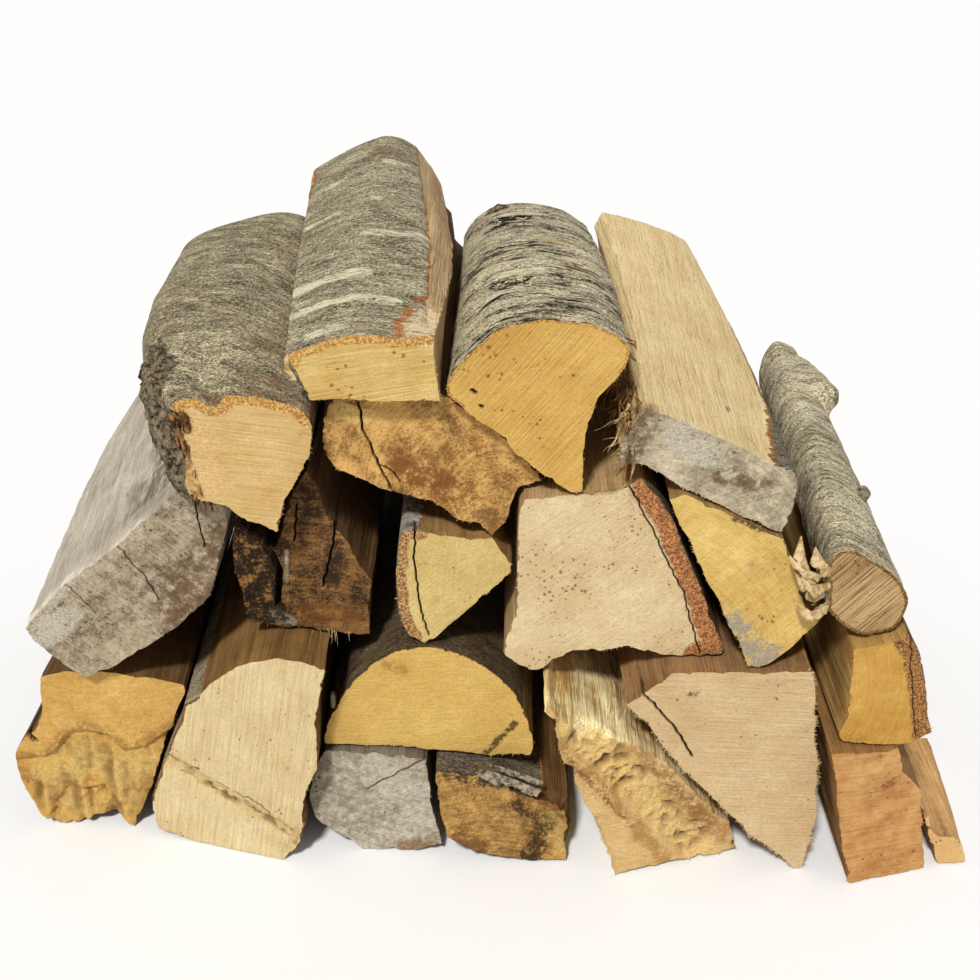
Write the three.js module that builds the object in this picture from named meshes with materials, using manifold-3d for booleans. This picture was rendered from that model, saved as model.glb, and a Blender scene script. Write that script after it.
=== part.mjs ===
import * as THREE from "three";
import { mergeVertices } from "three/addons/utils/BufferGeometryUtils.js";
import Module from "manifold-3d";

// A stack of split beech firewood, one log deep.
// Millimetres, +Z up, the sawn ends that face the viewer look along -Y.
// Each log is one grown piece: bark and wood together.

// Two touching logs keep this much air between them.
const TOUCH_GAP = 0.3;
// Length of the short straight runs that a log's outline is divided into.
const OUTLINE_STEP = 12;
// Cross sections along each log, the two sawn ends included.
const STATIONS = 6;
// Depth of the grooves that splitting leaves along the grain.
const SPLIT_GROOVE = 0.8;
// How far a groove wanders between two cross sections.
const GROOVE_WANDER = 0.4;
// Keeps the chance numbers of one cross section apart from those of the next.
const CHANCE_STRIDE = 31;

const TONES = {
  fresh_yellow_beech: 0xd9b468,
  pale_beech: 0xd8bd92,
  orange_beech: 0xcf9c55,
  spalted_beech: 0xd0b070,
  weathered_beech: 0x8d8478,
  grey_sawn_beech: 0xa39a8c,
  brown_beech: 0x8a6239,
  barked_beech: 0x807a6c,
};

// A log has an outline [x, z] for each of its sections, the front sawn end first. All sections of
// a log have the same number of points. y is where the section crosses the middle of the log and
// turn how much further back it lies per millimetre to the right.
const LOGS = [
  {
    name: "torn_orange_log",
    tone: "orange_beech",
    sections: [
      { y: -96, turn: 0, outline: [
        [-224, 0], [-211, 1], [-204, 6], [-193, 6], [-184, 0], [-178, 10], [-172, 26], [-164, 49],
        [-157, 66], [-149, 86], [-149, 91], [-164, 95], [-182, 98], [-195, 99], [-206, 99],
        [-220, 96], [-221, 76], [-226, 63], [-232, 61], [-238, 50], [-239, 40], [-237, 25],
        [-232, 8],
      ] },
      { y: 146, turn: 0.05, outline: [
        [-218, 0], [-209, 0], [-200, 0], [-192, 0], [-180, 0], [-175, 12], [-172, 26], [-165, 49],
        [-160, 66], [-155, 84], [-156, 90], [-166, 95], [-180, 98], [-192, 99], [-203, 98],
        [-214, 95], [-220, 80], [-226, 66], [-229, 58], [-232, 48], [-232, 38], [-230, 24],
        [-226, 10],
      ] },
    ],
  },
  {
    name: "torn_pale_log",
    tone: "pale_beech",
    sections: [
      { y: -113, turn: -0.3, outline: [
        [-109, 0], [-102, 0], [-95, 9], [-91, 21], [-92, 32], [-88, 50], [-82, 62], [-82, 77],
        [-81, 90], [-79, 105], [-75, 121], [-87, 123], [-99, 123], [-112, 118], [-121, 113],
        [-132, 103], [-141, 92], [-148, 86], [-156, 66], [-163, 49], [-171, 26], [-173, 14],
        [-170, 3], [-150, 0], [-124, 0],
      ] },
      { y: 143, turn: 0.04, outline: [
        [-113, 0], [-105, 0], [-97, 9], [-92, 21], [-92, 32], [-88, 48], [-83, 60], [-82, 74],
        [-82, 90], [-82, 105], [-82, 119], [-92, 122], [-104, 122], [-117, 119], [-131, 116],
        [-142, 110], [-149, 100], [-154, 84], [-159, 66], [-164, 49], [-171, 26], [-171, 12],
        [-166, 0], [-148, 0], [-130, 0],
      ] },
    ],
  },
  {
    name: "grey_bottom_log",
    tone: "grey_sawn_beech",
    sections: [
      { y: -112, turn: -0.08, outline: [
        [-65, 0], [-50, 0], [-34, 1], [-23, 5], [-25, 16], [-28, 32], [-30, 48], [-29, 59],
        [-42, 61], [-56, 62], [-81, 62], [-87, 50], [-91, 32], [-90, 18], [-80, 10],
      ] },
      { y: 140, turn: 0, outline: [
        [-68, 0], [-50, 0], [-36, 0], [-25, 4], [-26, 16], [-28, 32], [-30, 47], [-31, 57],
        [-43, 60], [-57, 62], [-80, 61], [-86, 49], [-90, 33], [-89, 18], [-80, 6],
      ] },
    ],
  },
  {
    name: "brown_bottom_log",
    tone: "brown_beech",
    sections: [
      { y: -121, turn: 0, outline: [
        [-9, 6], [10, 2], [22, 0], [39, 0], [42, 16], [40, 35], [15, 46], [0, 55], [-14, 57],
        [-27, 58], [-28, 48], [-26, 32], [-22, 15],
      ] },
      { y: 138, turn: 0.06, outline: [
        [-10, 0], [8, 0], [24, 0], [38, 0], [43, 14], [41, 33], [19, 47], [2, 55], [-13, 57],
        [-27, 58], [-28, 47], [-26, 32], [-22, 14],
      ] },
    ],
  },
  {
    name: "spalted_log",
    tone: "spalted_beech",
    sections: [
      { y: -127, turn: 0.3, outline: [
        [61, 0], [94, 0], [126, 0], [126, 14], [115, 30], [103, 45], [88, 63], [78, 74],
        [66, 83], [54, 90], [39, 99], [25, 110], [31, 83], [41, 56], [50, 33],
      ] },
      { y: 136, turn: 0, outline: [
        [56, 0], [90, 0], [122, 0], [124, 14], [113, 30], [101, 45], [87, 63], [76, 76],
        [64, 88], [52, 97], [39, 104], [27, 110], [32, 83], [39, 56], [47, 32],
      ] },
    ],
  },
  {
    name: "pale_wedge_log",
    tone: "pale_beech",
    sections: [
      { y: -125, turn: 0, outline: [
        [151, 0], [155, 0], [159, 19], [160, 36], [158, 48], [158, 65], [155, 79], [153, 97],
        [150, 119], [125, 118], [98, 118], [84, 117], [71, 107], [63, 99], [74, 87], [89, 65],
        [106, 46], [128, 21], [145, 7],
      ] },
      { y: 141, turn: -0.05, outline: [
        [148, 0], [157, 0], [160, 19], [160, 36], [158, 50], [157, 65], [155, 79], [152, 97],
        [147, 117], [126, 118], [98, 118], [80, 117], [66, 110], [59, 100], [74, 84], [89, 64],
        [103, 46], [126, 20], [136, 3],
      ] },
    ],
  },
  {
    name: "orange_square_log",
    tone: "orange_beech",
    sections: [
      { y: -133, turn: 0.28, outline: [
        [176, 0], [196, 0], [217, 0], [215, 17], [212, 32], [208, 51], [197, 65], [192, 80],
        [176, 81], [158, 83], [160, 73], [167, 36], [173, 8],
      ] },
      { y: 128, turn: 0, outline: [
        [174, 0], [196, 0], [218, 0], [218, 18], [216, 34], [213, 52], [206, 68], [196, 80],
        [178, 82], [160, 82], [161, 72], [166, 36], [169, 10],
      ] },
    ],
  },
  {
    name: "thin_sliver_log",
    tone: "pale_beech",
    sections: [
      { y: -122, turn: 0, outline: [
        [224, 0], [233, 0], [239, 2], [235, 12], [231, 18], [223, 19], [218, 23], [213, 31],
        [217, 14],
      ] },
      { y: -38, turn: 0.2, outline: [
        [224, 0], [236, 0], [246, 0], [244, 9], [240, 15], [232, 17], [226, 16], [221, 14],
        [219, 6],
      ] },
    ],
  },
  {
    name: "half_moon_log",
    tone: "fresh_yellow_beech",
    sections: [
      { y: -107, turn: 0, outline: [
        [-56, 62], [-28, 59], [0, 56], [20, 56], [22, 61], [21, 69], [18, 81], [13, 93],
        [5, 103], [-6, 112], [-17, 118], [-26, 120], [-36, 120], [-46, 117], [-58, 110],
        [-69, 96], [-76, 83], [-81, 70], [-81, 63],
      ] },
      { y: 142, turn: 0.05, outline: [
        [-56, 62], [-28, 59], [0, 56], [22, 57], [27, 63], [27, 71], [24, 82], [18, 93],
        [9, 103], [-4, 112], [-16, 118], [-26, 120], [-36, 120], [-47, 116], [-59, 108],
        [-69, 96], [-76, 83], [-80, 70], [-80, 63],
      ] },
    ],
  },
  {
    name: "grey_weathered_log",
    tone: "weathered_beech",
    sections: [
      { y: -104, turn: 0, outline: [
        [-195, 99], [-182, 104], [-164, 116], [-146, 129], [-130, 145], [-127, 156],
        [-122, 170], [-119, 184], [-119, 192], [-126, 202], [-139, 204], [-154, 189],
        [-170, 174], [-184, 163], [-198, 152], [-216, 134], [-220, 128], [-217, 120],
        [-206, 109],
      ] },
      { y: 30, turn: 0, outline: [
        [-195, 99], [-182, 102], [-164, 113], [-147, 125], [-131, 142], [-127, 155],
        [-122, 170], [-119, 184], [-119, 193], [-126, 202], [-139, 204], [-154, 196],
        [-168, 188], [-181, 180], [-196, 168], [-212, 155], [-217, 149], [-216, 134],
        [-208, 114],
      ] },
      { y: 152, turn: -0.05, outline: [
        [-194, 100], [-181, 100], [-164, 106], [-146, 113], [-132, 128], [-127, 150],
        [-121, 168], [-119, 184], [-119, 193], [-126, 202], [-139, 204], [-154, 201],
        [-166, 196], [-178, 190], [-192, 180], [-203, 166], [-207, 157], [-206, 140],
        [-203, 116],
      ] },
    ],
  },
  {
    name: "brown_cracked_log",
    tone: "brown_beech",
    sections: [
      { y: -98, turn: 0, outline: [
        [-74, 121], [-64, 119], [-57, 120], [-56, 137], [-54, 150], [-59, 159], [-64, 170],
        [-70, 181], [-75, 190], [-78, 203], [-83, 209], [-91, 196], [-95, 184], [-97, 178],
        [-100, 168], [-106, 176], [-118, 183], [-121, 168], [-119, 142], [-115, 127],
        [-105, 124], [-87, 123],
      ] },
      { y: 147, turn: 0.06, outline: [
        [-74, 121], [-66, 120], [-60, 121], [-58, 136], [-56, 150], [-59, 160], [-64, 171],
        [-69, 182], [-73, 192], [-77, 202], [-83, 208], [-91, 203], [-98, 195], [-100, 189],
        [-104, 184], [-109, 185], [-117, 183], [-120, 168], [-119, 144], [-117, 128],
        [-105, 123], [-88, 122],
      ] },
    ],
  },
  {
    name: "wedge_log",
    tone: "fresh_yellow_beech",
    sections: [
      { y: -105, turn: 0, outline: [
        [-31, 120], [-26, 122], [-17, 132], [-7, 141], [-1, 147], [11, 159], [11, 164],
        [5, 172], [1, 178], [-8, 178], [-20, 179], [-36, 182], [-41, 182], [-43, 172],
        [-44, 152], [-43, 134], [-39, 125],
      ] },
      { y: 139, turn: 0, outline: [
        [-32, 120], [-25, 122], [-15, 131], [-6, 140], [0, 147], [9, 157], [10, 164],
        [5, 172], [1, 179], [-8, 180], [-20, 182], [-33, 184], [-40, 183], [-43, 172],
        [-45, 154], [-44, 136], [-41, 126],
      ] },
    ],
  },
  {
    name: "large_pale_log",
    tone: "pale_beech",
    sections: [
      { y: -113, turn: 0, outline: [
        [18, 110], [25, 110], [31, 116], [39, 121], [53, 121], [64, 123], [73, 121],
        [82, 118], [97, 118], [110, 118], [110, 124], [104, 139], [96, 158], [89, 174],
        [82, 192], [76, 203], [67, 210], [62, 211], [60, 207], [44, 205], [34, 204],
        [15, 202], [13, 196], [12, 173], [12, 142], [7, 128], [6, 119],
      ] },
      { y: 145, turn: -0.04, outline: [
        [19, 111], [27, 110], [33, 115], [40, 119], [53, 120], [64, 121], [73, 120],
        [82, 118], [96, 118], [107, 118], [107, 124], [101, 139], [94, 157], [87, 173],
        [80, 189], [74, 200], [67, 209], [62, 210], [56, 208], [44, 205], [34, 204],
        [17, 202], [13, 195], [12, 172], [11, 143], [8, 130], [10, 119],
      ] },
    ],
  },
  {
    name: "yellow_split_log",
    tone: "fresh_yellow_beech",
    sections: [
      { y: -122, turn: 0, outline: [
        [124, 118], [129, 119], [138, 128], [146, 137], [150, 143], [143, 152], [139, 163],
        [135, 176], [130, 186], [119, 192], [107, 198], [96, 204], [85, 209], [77, 206],
        [83, 194], [90, 179], [97, 164], [103, 153], [108, 142], [114, 130], [119, 119],
      ] },
      { y: 133, turn: 0.04, outline: [
        [124, 118], [131, 119], [140, 128], [147, 136], [150, 143], [146, 154], [141, 165],
        [136, 176], [129, 185], [119, 192], [107, 198], [96, 203], [86, 207], [77, 205],
        [82, 194], [89, 180], [95, 165], [101, 153], [106, 142], [112, 130], [117, 119],
      ] },
    ],
  },
  {
    name: "barked_square_log",
    tone: "fresh_yellow_beech",
    sections: [
      { y: -131, turn: 0.06, outline: [
        [165, 83], [178, 81], [193, 80], [201, 82], [207, 87], [205, 98], [201, 113],
        [196, 131], [190, 142], [186, 139], [175, 137], [164, 135], [165, 111], [165, 98],
        [162, 87],
      ] },
      { y: 119, turn: 0, outline: [
        [166, 83], [178, 82], [192, 81], [201, 82], [207, 89], [206, 100], [202, 115],
        [197, 134], [190, 146], [184, 149], [174, 149], [163, 146], [162, 113], [162, 99],
        [162, 87],
      ] },
    ],
  },
  {
    name: "set_back_brown_log",
    tone: "brown_beech",
    sections: [
      { y: -105, turn: 0, outline: [
        [-5, 184], [1, 178], [8, 186], [10, 194], [13, 203], [24, 206], [12, 222], [2, 233],
        [-8, 239], [-15, 245], [-22, 250], [-39, 250], [-56, 250], [-68, 247], [-74, 239],
        [-75, 221], [-68, 211], [-62, 209], [-55, 206], [-50, 201], [-39, 199], [-28, 195],
        [-21, 192], [-16, 186],
      ] },
      { y: 144, turn: 0.05, outline: [
        [-4, 185], [1, 179], [8, 187], [10, 195], [13, 204], [22, 207], [9, 220], [-10, 231],
        [-20, 241], [-22, 256], [-30, 268], [-46, 270], [-62, 270], [-74, 266], [-82, 254],
        [-86, 232], [-80, 218], [-70, 210], [-58, 205], [-50, 201], [-39, 199], [-28, 196],
        [-21, 192], [-14, 188],
      ] },
    ],
  },
  {
    name: "burled_bark_log",
    tone: "barked_beech",
    sections: [
      { y: -120, turn: 0, outline: [
        [-94, 188], [-90, 204], [-84, 214], [-77, 225], [-75, 240], [-79, 249], [-95, 253],
        [-104, 255], [-113, 255], [-118, 248], [-122, 253], [-129, 255], [-136, 251],
        [-136, 238], [-131, 229], [-132, 218], [-134, 206], [-126, 203], [-116, 201],
        [-113, 197], [-108, 194], [-101, 190],
      ] },
      { y: -62, turn: 0, outline: [
        [-95, 189], [-91, 204], [-85, 215], [-78, 226], [-77, 241], [-82, 250], [-96, 257],
        [-107, 261], [-119, 263], [-131, 261], [-143, 259], [-153, 254], [-161, 246],
        [-163, 235], [-159, 223], [-151, 213], [-140, 206], [-127, 204], [-118, 201],
        [-115, 197], [-109, 194], [-102, 191],
      ] },
      { y: 5, turn: 0, outline: [
        [-98, 196], [-92, 206], [-87, 216], [-84, 228], [-83, 241], [-88, 251], [-98, 258],
        [-110, 262], [-124, 264], [-141, 263], [-155, 260], [-167, 254], [-174, 245],
        [-176, 232], [-171, 220], [-160, 210], [-146, 205], [-130, 204], [-122, 201],
        [-118, 198], [-112, 196], [-105, 194],
      ] },
      { y: 130, turn: 0.04, outline: [
        [-109, 205], [-99, 210], [-93, 219], [-91, 231], [-92, 243], [-98, 253], [-107, 259],
        [-118, 262], [-130, 260], [-144, 257], [-157, 253], [-169, 249], [-177, 242],
        [-182, 232], [-179, 220], [-169, 210], [-154, 205], [-139, 204], [-130, 204],
        [-124, 204], [-119, 204], [-114, 204],
      ] },
    ],
  },
  {
    name: "barked_slab_log",
    tone: "barked_beech",
    sections: [
      { y: -117, turn: 0, outline: [
        [-77, 250], [-54, 250], [-21, 250], [-23, 280], [-31, 280], [-38, 279], [-45, 281],
        [-56, 281], [-71, 278], [-87, 271], [-83, 265], [-79, 257],
      ] },
      { y: 10, turn: 0, outline: [
        [-84, 260], [-52, 260], [-21, 261], [-16, 271], [-26, 287], [-34, 291], [-45, 292],
        [-60, 293], [-76, 289], [-94, 279], [-92, 271], [-89, 265],
      ] },
      { y: 140, turn: 0.1, outline: [
        [-94, 272], [-60, 271], [-33, 270], [-28, 274], [-33, 284], [-42, 296], [-50, 302],
        [-60, 303], [-78, 297], [-101, 284], [-101, 279], [-99, 275],
      ] },
    ],
  },
  {
    name: "half_round_log",
    tone: "barked_beech",
    sections: [
      { y: -114, turn: 0, outline: [
        [36, 205], [42, 205], [41, 220], [42, 233], [44, 242], [47, 250], [53, 258],
        [58, 264], [60, 275], [52, 281], [43, 285], [33, 286], [22, 287], [13, 285], [4, 283],
        [-4, 277], [-12, 268], [-18, 262], [-20, 252], [-13, 246], [-7, 240], [3, 234],
        [11, 224], [25, 212],
      ] },
      { y: 0, turn: 0, outline: [
        [36, 205], [42, 205], [44, 220], [46, 230], [50, 238], [54, 246], [58, 253],
        [62, 258], [62, 266], [57, 272], [49, 277], [39, 280], [26, 281], [14, 280], [3, 277],
        [-6, 272], [-12, 266], [-16, 259], [-18, 250], [-12, 245], [-7, 239], [3, 233],
        [11, 223], [25, 212],
      ] },
      { y: 131, turn: -0.05, outline: [
        [36, 205], [42, 205], [46, 217], [49, 224], [52, 230], [55, 236], [57, 242],
        [58, 248], [56, 254], [50, 259], [43, 263], [34, 266], [24, 267], [14, 267], [4, 265],
        [-3, 262], [-9, 257], [-14, 251], [-17, 244], [-13, 238], [-8, 233], [2, 227],
        [10, 221], [23, 212],
      ] },
    ],
  },
  {
    name: "split_plank_log",
    tone: "grey_sawn_beech",
    sections: [
      { y: -120, turn: 0, outline: [
        [63, 222], [73, 217], [84, 210], [96, 204], [107, 198], [119, 192], [130, 187],
        [135, 202], [135, 215], [132, 220], [123, 222], [108, 231], [87, 240], [66, 250],
        [62, 243], [58, 236], [55, 228], [56, 219],
      ] },
      { y: 10, turn: 0, outline: [
        [65, 221], [75, 216], [85, 210], [96, 204], [107, 198], [117, 193], [126, 190],
        [131, 203], [132, 220], [127, 230], [118, 235], [104, 241], [87, 247], [70, 252],
        [66, 247], [63, 240], [61, 233], [61, 226],
      ] },
      { y: 136, turn: 0.1, outline: [
        [74, 216], [80, 213], [86, 210], [96, 204], [105, 199], [114, 197], [120, 200],
        [124, 212], [122, 229], [115, 242], [106, 247], [94, 252], [80, 257], [64, 261],
        [60, 252], [61, 244], [63, 235], [67, 224],
      ] },
    ],
  },
  {
    name: "round_branch_log",
    tone: "barked_beech",
    sections: [
      { y: -127, turn: 0, outline: [
        [170, 137], [176, 138], [184, 141], [188, 148], [189, 158], [184, 167], [178, 173],
        [171, 178], [161, 183], [151, 183], [149, 172], [150, 161], [150, 152], [155, 146],
        [163, 141],
      ] },
      { y: -10, turn: 0, outline: [
        [170, 144], [177, 145], [184, 149], [189, 155], [190, 163], [187, 171], [182, 178],
        [175, 183], [167, 186], [160, 184], [156, 176], [154, 167], [155, 157], [159, 150],
        [164, 146],
      ] },
      { y: 118, turn: 0.1, outline: [
        [174, 149], [180, 150], [185, 154], [188, 160], [188, 168], [185, 176], [181, 183],
        [174, 188], [167, 189], [163, 185], [160, 178], [158, 169], [159, 160], [163, 154],
        [168, 150],
      ] },
    ],
  },
];

// The stub of a side shoot on the round branch: base and tip centres and radii.
const BRANCH_STUB = { base: [175, 98, 174], tip: [187, 50, 180], baseRadius: 13, tipRadius: 8 };

// A repeatable number from 0 to 1 for a pair of whole numbers.
function chance(a, b) {
  const wave = Math.sin(a * 12.9898 + b * 78.233 + 4.137) * 43758.5453;
  return wave - Math.floor(wave);
}

// Move each point of a counter-clockwise outline inward by its own depth.
// A point on the floor stays on the floor.
function drawIn(outline, depthAt) {
  const count = outline.length;
  return outline.map(([x, z], i) => {
    const [beforeX, beforeZ] = outline[(i + count - 1) % count];
    const [afterX, afterZ] = outline[(i + 1) % count];
    const alongX = afterX - beforeX;
    const alongZ = afterZ - beforeZ;
    const length = Math.hypot(alongX, alongZ);
    const depth = depthAt(i);
    const inX = x - (alongZ / length) * depth;
    const inZ = z + (alongX / length) * depth;
    return z === 0 ? [x, 0] : [inX, inZ];
  });
}

// Say how many short runs each side of the outline is divided into.
function runsPerSide(outline) {
  return outline.map(([x, z], i) => {
    const [nextX, nextZ] = outline[(i + 1) % outline.length];
    return Math.max(1, Math.round(Math.hypot(nextX - x, nextZ - z) / OUTLINE_STEP));
  });
}

function divideSides(outline, runs) {
  const points = [];
  outline.forEach(([x, z], i) => {
    const [nextX, nextZ] = outline[(i + 1) % outline.length];
    for (let run = 0; run < runs[i]; run += 1) {
      const part = run / runs[i];
      points.push([x + (nextX - x) * part, z + (nextZ - z) * part]);
    }
  });
  return points;
}

// The outline at any share of the log's length, and how its points sit in depth.
function sectionAt(sections, share) {
  const spans = sections.length - 1;
  const first = sections[0].y;
  const last = sections[spans].y;
  const y = first + (last - first) * share;
  let span = 0;
  while (span < spans - 1 && y > sections[span + 1].y) {
    span += 1;
  }
  const from = sections[span];
  const to = sections[span + 1];
  const part = (y - from.y) / (to.y - from.y);
  const outline = from.outline.map(([x, z], i) => [
    x + (to.outline[i][0] - x) * part,
    z + (to.outline[i][1] - z) * part,
  ]);
  const turn = from.turn + (to.turn - from.turn) * part;
  return { y, turn, outline };
}

function middleX(outline) {
  const xs = outline.map((point) => point[0]);
  return (Math.min(...xs) + Math.max(...xs)) / 2;
}

// Rings of points from the front sawn end to the back one.
function ringsOf(log, logNumber) {
  const runs = runsPerSide(log.sections[0].outline);
  const rings = [];
  for (let station = 0; station < STATIONS; station += 1) {
    const section = sectionAt(log.sections, station / (STATIONS - 1));
    const centreX = middleX(section.outline);
    const divided = divideSides(section.outline, runs);
    const grooved = drawIn(divided, (i) => {
      const groove = SPLIT_GROOVE * chance(logNumber, i);
      const wander = GROOVE_WANDER * chance(logNumber + station * CHANCE_STRIDE, i);
      return TOUCH_GAP / 2 + (i % 2) * (groove + wander);
    });
    rings.push(grooved.map(([x, z]) => new THREE.Vector3(
      x,
      section.y + section.turn * (x - centreX),
      z,
    )));
  }
  return rings;
}

// Six times the volume of the corner made by three points and the origin.
function cornerVolume(a, b, c) {
  return a.dot(new THREE.Vector3().crossVectors(b, c));
}

// A closed surface through the rings. Each four-sided patch is folded inward, so that two
// logs that share a seam never cut into each other.
function surfaceThrough(rings) {
  const count = rings[0].length;
  const vertices = rings.flat();
  const triangles = [];
  const sizeOf = (faces) => faces.reduce(
    (sum, face) => sum + cornerVolume(...face.map((index) => vertices[index])),
    0,
  );
  for (let ring = 0; ring < rings.length - 1; ring += 1) {
    for (let i = 0; i < count; i += 1) {
      const next = (i + 1) % count;
      const a = ring * count + i;
      const b = ring * count + next;
      const c = (ring + 1) * count + next;
      const d = (ring + 1) * count + i;
      const oneFold = [[a, c, b], [a, d, c]];
      const otherFold = [[a, d, b], [b, d, c]];
      triangles.push(...(sizeOf(oneFold) < sizeOf(otherFold) ? oneFold : otherFold));
    }
  }
  const facesOf = (ring) => THREE.ShapeUtils.triangulateShape(
    ring.map((point) => new THREE.Vector2(point.x, point.z)),
    [],
  );
  const back = (rings.length - 1) * count;
  facesOf(rings[0]).forEach(([a, b, c]) => triangles.push([a, b, c]));
  facesOf(rings[rings.length - 1]).forEach(([a, b, c]) => {
    triangles.push([back + a, back + c, back + b]);
  });
  return {
    numProp: 3,
    vertProperties: new Float32Array(vertices.flatMap((point) => point.toArray())),
    triVerts: new Uint32Array(triangles.flat()),
  };
}

const wasm = await Module();
wasm.setup();

function solidFrom(surface) {
  return new wasm.Manifold(new wasm.Mesh(surface));
}

// The side shoot's stub: a short tapering round peg that starts inside the branch.
function branchStub({ base, tip, baseRadius, tipRadius }) {
  const sides = 12;
  const from = new THREE.Vector3(...base);
  const to = new THREE.Vector3(...tip);
  const geometry = new THREE.CylinderGeometry(
    tipRadius,
    baseRadius,
    from.distanceTo(to),
    sides,
  );
  const up = new THREE.Vector3(0, 1, 0);
  const aim = new THREE.Vector3().subVectors(to, from).normalize();
  geometry.applyQuaternion(new THREE.Quaternion().setFromUnitVectors(up, aim));
  geometry.translate(...from.clone().add(to).multiplyScalar(0.5).toArray());
  geometry.deleteAttribute("normal");
  geometry.deleteAttribute("uv");
  const welded = mergeVertices(geometry, 0.001);
  return solidFrom({
    numProp: 3,
    vertProperties: new Float32Array(welded.attributes.position.array),
    triVerts: new Uint32Array(welded.index.array),
  });
}

function meshFrom(solid, name, tone) {
  const surface = solid.getMesh();
  const geometry = new THREE.BufferGeometry();
  geometry.setAttribute("position", new THREE.BufferAttribute(surface.vertProperties, 3));
  geometry.setIndex(new THREE.BufferAttribute(surface.triVerts, 1));
  geometry.computeVertexNormals();
  const material = new THREE.MeshStandardMaterial({ color: TONES[tone], roughness: 0.9 });
  material.name = tone;
  const mesh = new THREE.Mesh(geometry, material);
  mesh.name = name;
  return mesh;
}

const stack = new THREE.Group();
stack.name = "stack_of_split_beech_firewood";
LOGS.forEach((log, logNumber) => {
  let solid = solidFrom(surfaceThrough(ringsOf(log, logNumber)));
  if (log.name === "round_branch_log") {
    solid = solid.add(branchStub(BRANCH_STUB));
  }
  stack.add(meshFrom(solid, log.name, log.tone));
});

// Centre the stack over the origin, its lowest logs on the floor.
const bounds = new THREE.Box3().setFromObject(stack);
const middle = bounds.getCenter(new THREE.Vector3());
stack.children.forEach((mesh) => mesh.geometry.translate(-middle.x, -middle.y, 0));

export default stack;
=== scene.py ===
# %% [markdown]
# # A stack of split beech firewood
#
# Twenty-one pieces of stove wood lie on each other with their sawn ends towards us. Each piece
# has three kinds of skin: a sawn end, split sides and, on some, bark. The lesson builds a dense
# skin over each plain log of the loaded model, and then gives the three kinds their finish.

import math

import bpy
import numpy as np
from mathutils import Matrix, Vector
from mathutils.geometry import delaunay_2d_cdt


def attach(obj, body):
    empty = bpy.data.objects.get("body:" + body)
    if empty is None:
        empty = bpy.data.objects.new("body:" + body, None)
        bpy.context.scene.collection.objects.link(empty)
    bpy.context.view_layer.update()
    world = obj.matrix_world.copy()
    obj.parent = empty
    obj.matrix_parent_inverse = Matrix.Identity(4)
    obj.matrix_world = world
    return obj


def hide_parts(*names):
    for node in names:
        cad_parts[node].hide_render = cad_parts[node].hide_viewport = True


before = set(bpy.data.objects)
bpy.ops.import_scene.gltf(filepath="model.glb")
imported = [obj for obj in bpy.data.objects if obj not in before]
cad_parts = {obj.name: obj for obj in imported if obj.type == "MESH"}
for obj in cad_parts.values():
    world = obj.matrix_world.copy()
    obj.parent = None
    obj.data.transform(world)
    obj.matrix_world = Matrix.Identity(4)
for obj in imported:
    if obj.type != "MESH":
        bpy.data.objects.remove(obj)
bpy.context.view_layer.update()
MM = 0.001
print("plain logs:", len(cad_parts))

# %% [markdown]
# ## Camera
#
# The viewer looks slightly down on the stack from the middle. A camera in Blender looks along its
# own -Z, so a turn of 63 degrees about X from straight down leaves it looking 27 degrees down.
# The plain "Standard" view keeps the colours of a product photograph as they are.

# %% Camera
LOOK_DOWN = 27.0
SENSOR = 36.0
LENS = 53.34
CAMERA_PLACE = (-3.6, -690.05, 497.0)


def put_in_scene(name, data):
    thing = bpy.data.objects.new(name, data)
    bpy.context.scene.collection.objects.link(thing)
    return thing


camera_data = bpy.data.cameras.new("camera")
camera_data.sensor_width = SENSOR
camera_data.lens = LENS
camera = put_in_scene("camera", camera_data)
camera.location = [value * MM for value in CAMERA_PLACE]
camera.rotation_euler = (math.radians(90 - LOOK_DOWN), 0, 0)
bpy.context.scene.camera = camera
bpy.context.scene.view_settings.view_transform = "Standard"
print("camera", [round(value, 3) for value in camera.location])

# %% [markdown]
# ## Colours
#
# Shader sockets take linear light, while colours are usually read off in sRGB hex. One function
# turns the one into the other, and another starts each new finish.

# %% Hex colours to linear, and a new finish
def linear(hex_colour):
    channels = [int(hex_colour[i:i + 2], 16) / 255 for i in (1, 3, 5)]
    light = [c / 12.92 if c <= 0.04045 else ((c + 0.055) / 1.055) ** 2.4 for c in channels]
    return (*light, 1.0)


def new_finish(name):
    finish = bpy.data.materials.new(name)
    finish.use_nodes = True
    tree = finish.node_tree
    return finish, tree, tree.nodes["Principled BSDF"]


# %% [markdown]
# ## Floor and studio light
#
# A pale sheet lies under the stack. One soft lamp shines from the front, the left and above, so
# that the sawn ends are bright and the hollows under the overhanging logs stay dark, and a pale
# sky fills the shadows. A sun lamp lights the sheet evenly to its far edge, and its wide angle
# keeps the shadows soft.

# %% Floor
FLOOR_HALF = 6.0
FLOOR_CORNERS = [(-1, -1), (1, -1), (1, 1), (-1, 1)]
floor_data = bpy.data.meshes.new("floor")
floor_points = [(x * FLOOR_HALF, y * FLOOR_HALF, 0) for x, y in FLOOR_CORNERS]
floor_data.from_pydata(floor_points, [], [(0, 1, 2, 3)])
floor = put_in_scene("floor", floor_data)

floor_finish, _, paper = new_finish("studio_paper_matt")
paper.inputs["Base Color"].default_value = linear("#ececec")
paper.inputs["Roughness"].default_value = 0.9
floor_data.materials.append(floor_finish)

# %% Lights
SKY_STRENGTH = 0.44
LAMP_STRENGTH = 3.2
LAMP_SPREAD = 7.0
LAMP_TINT = (1.0, 0.99, 0.975)
LAMP_FROM = (-0.25, -0.8, 0.95)

world = bpy.data.worlds.new("studio")
world.use_nodes = True
bpy.context.scene.world = world
sky = world.node_tree.nodes["Background"]
sky.inputs["Color"].default_value = linear("#ffffff")
sky.inputs["Strength"].default_value = SKY_STRENGTH

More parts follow.
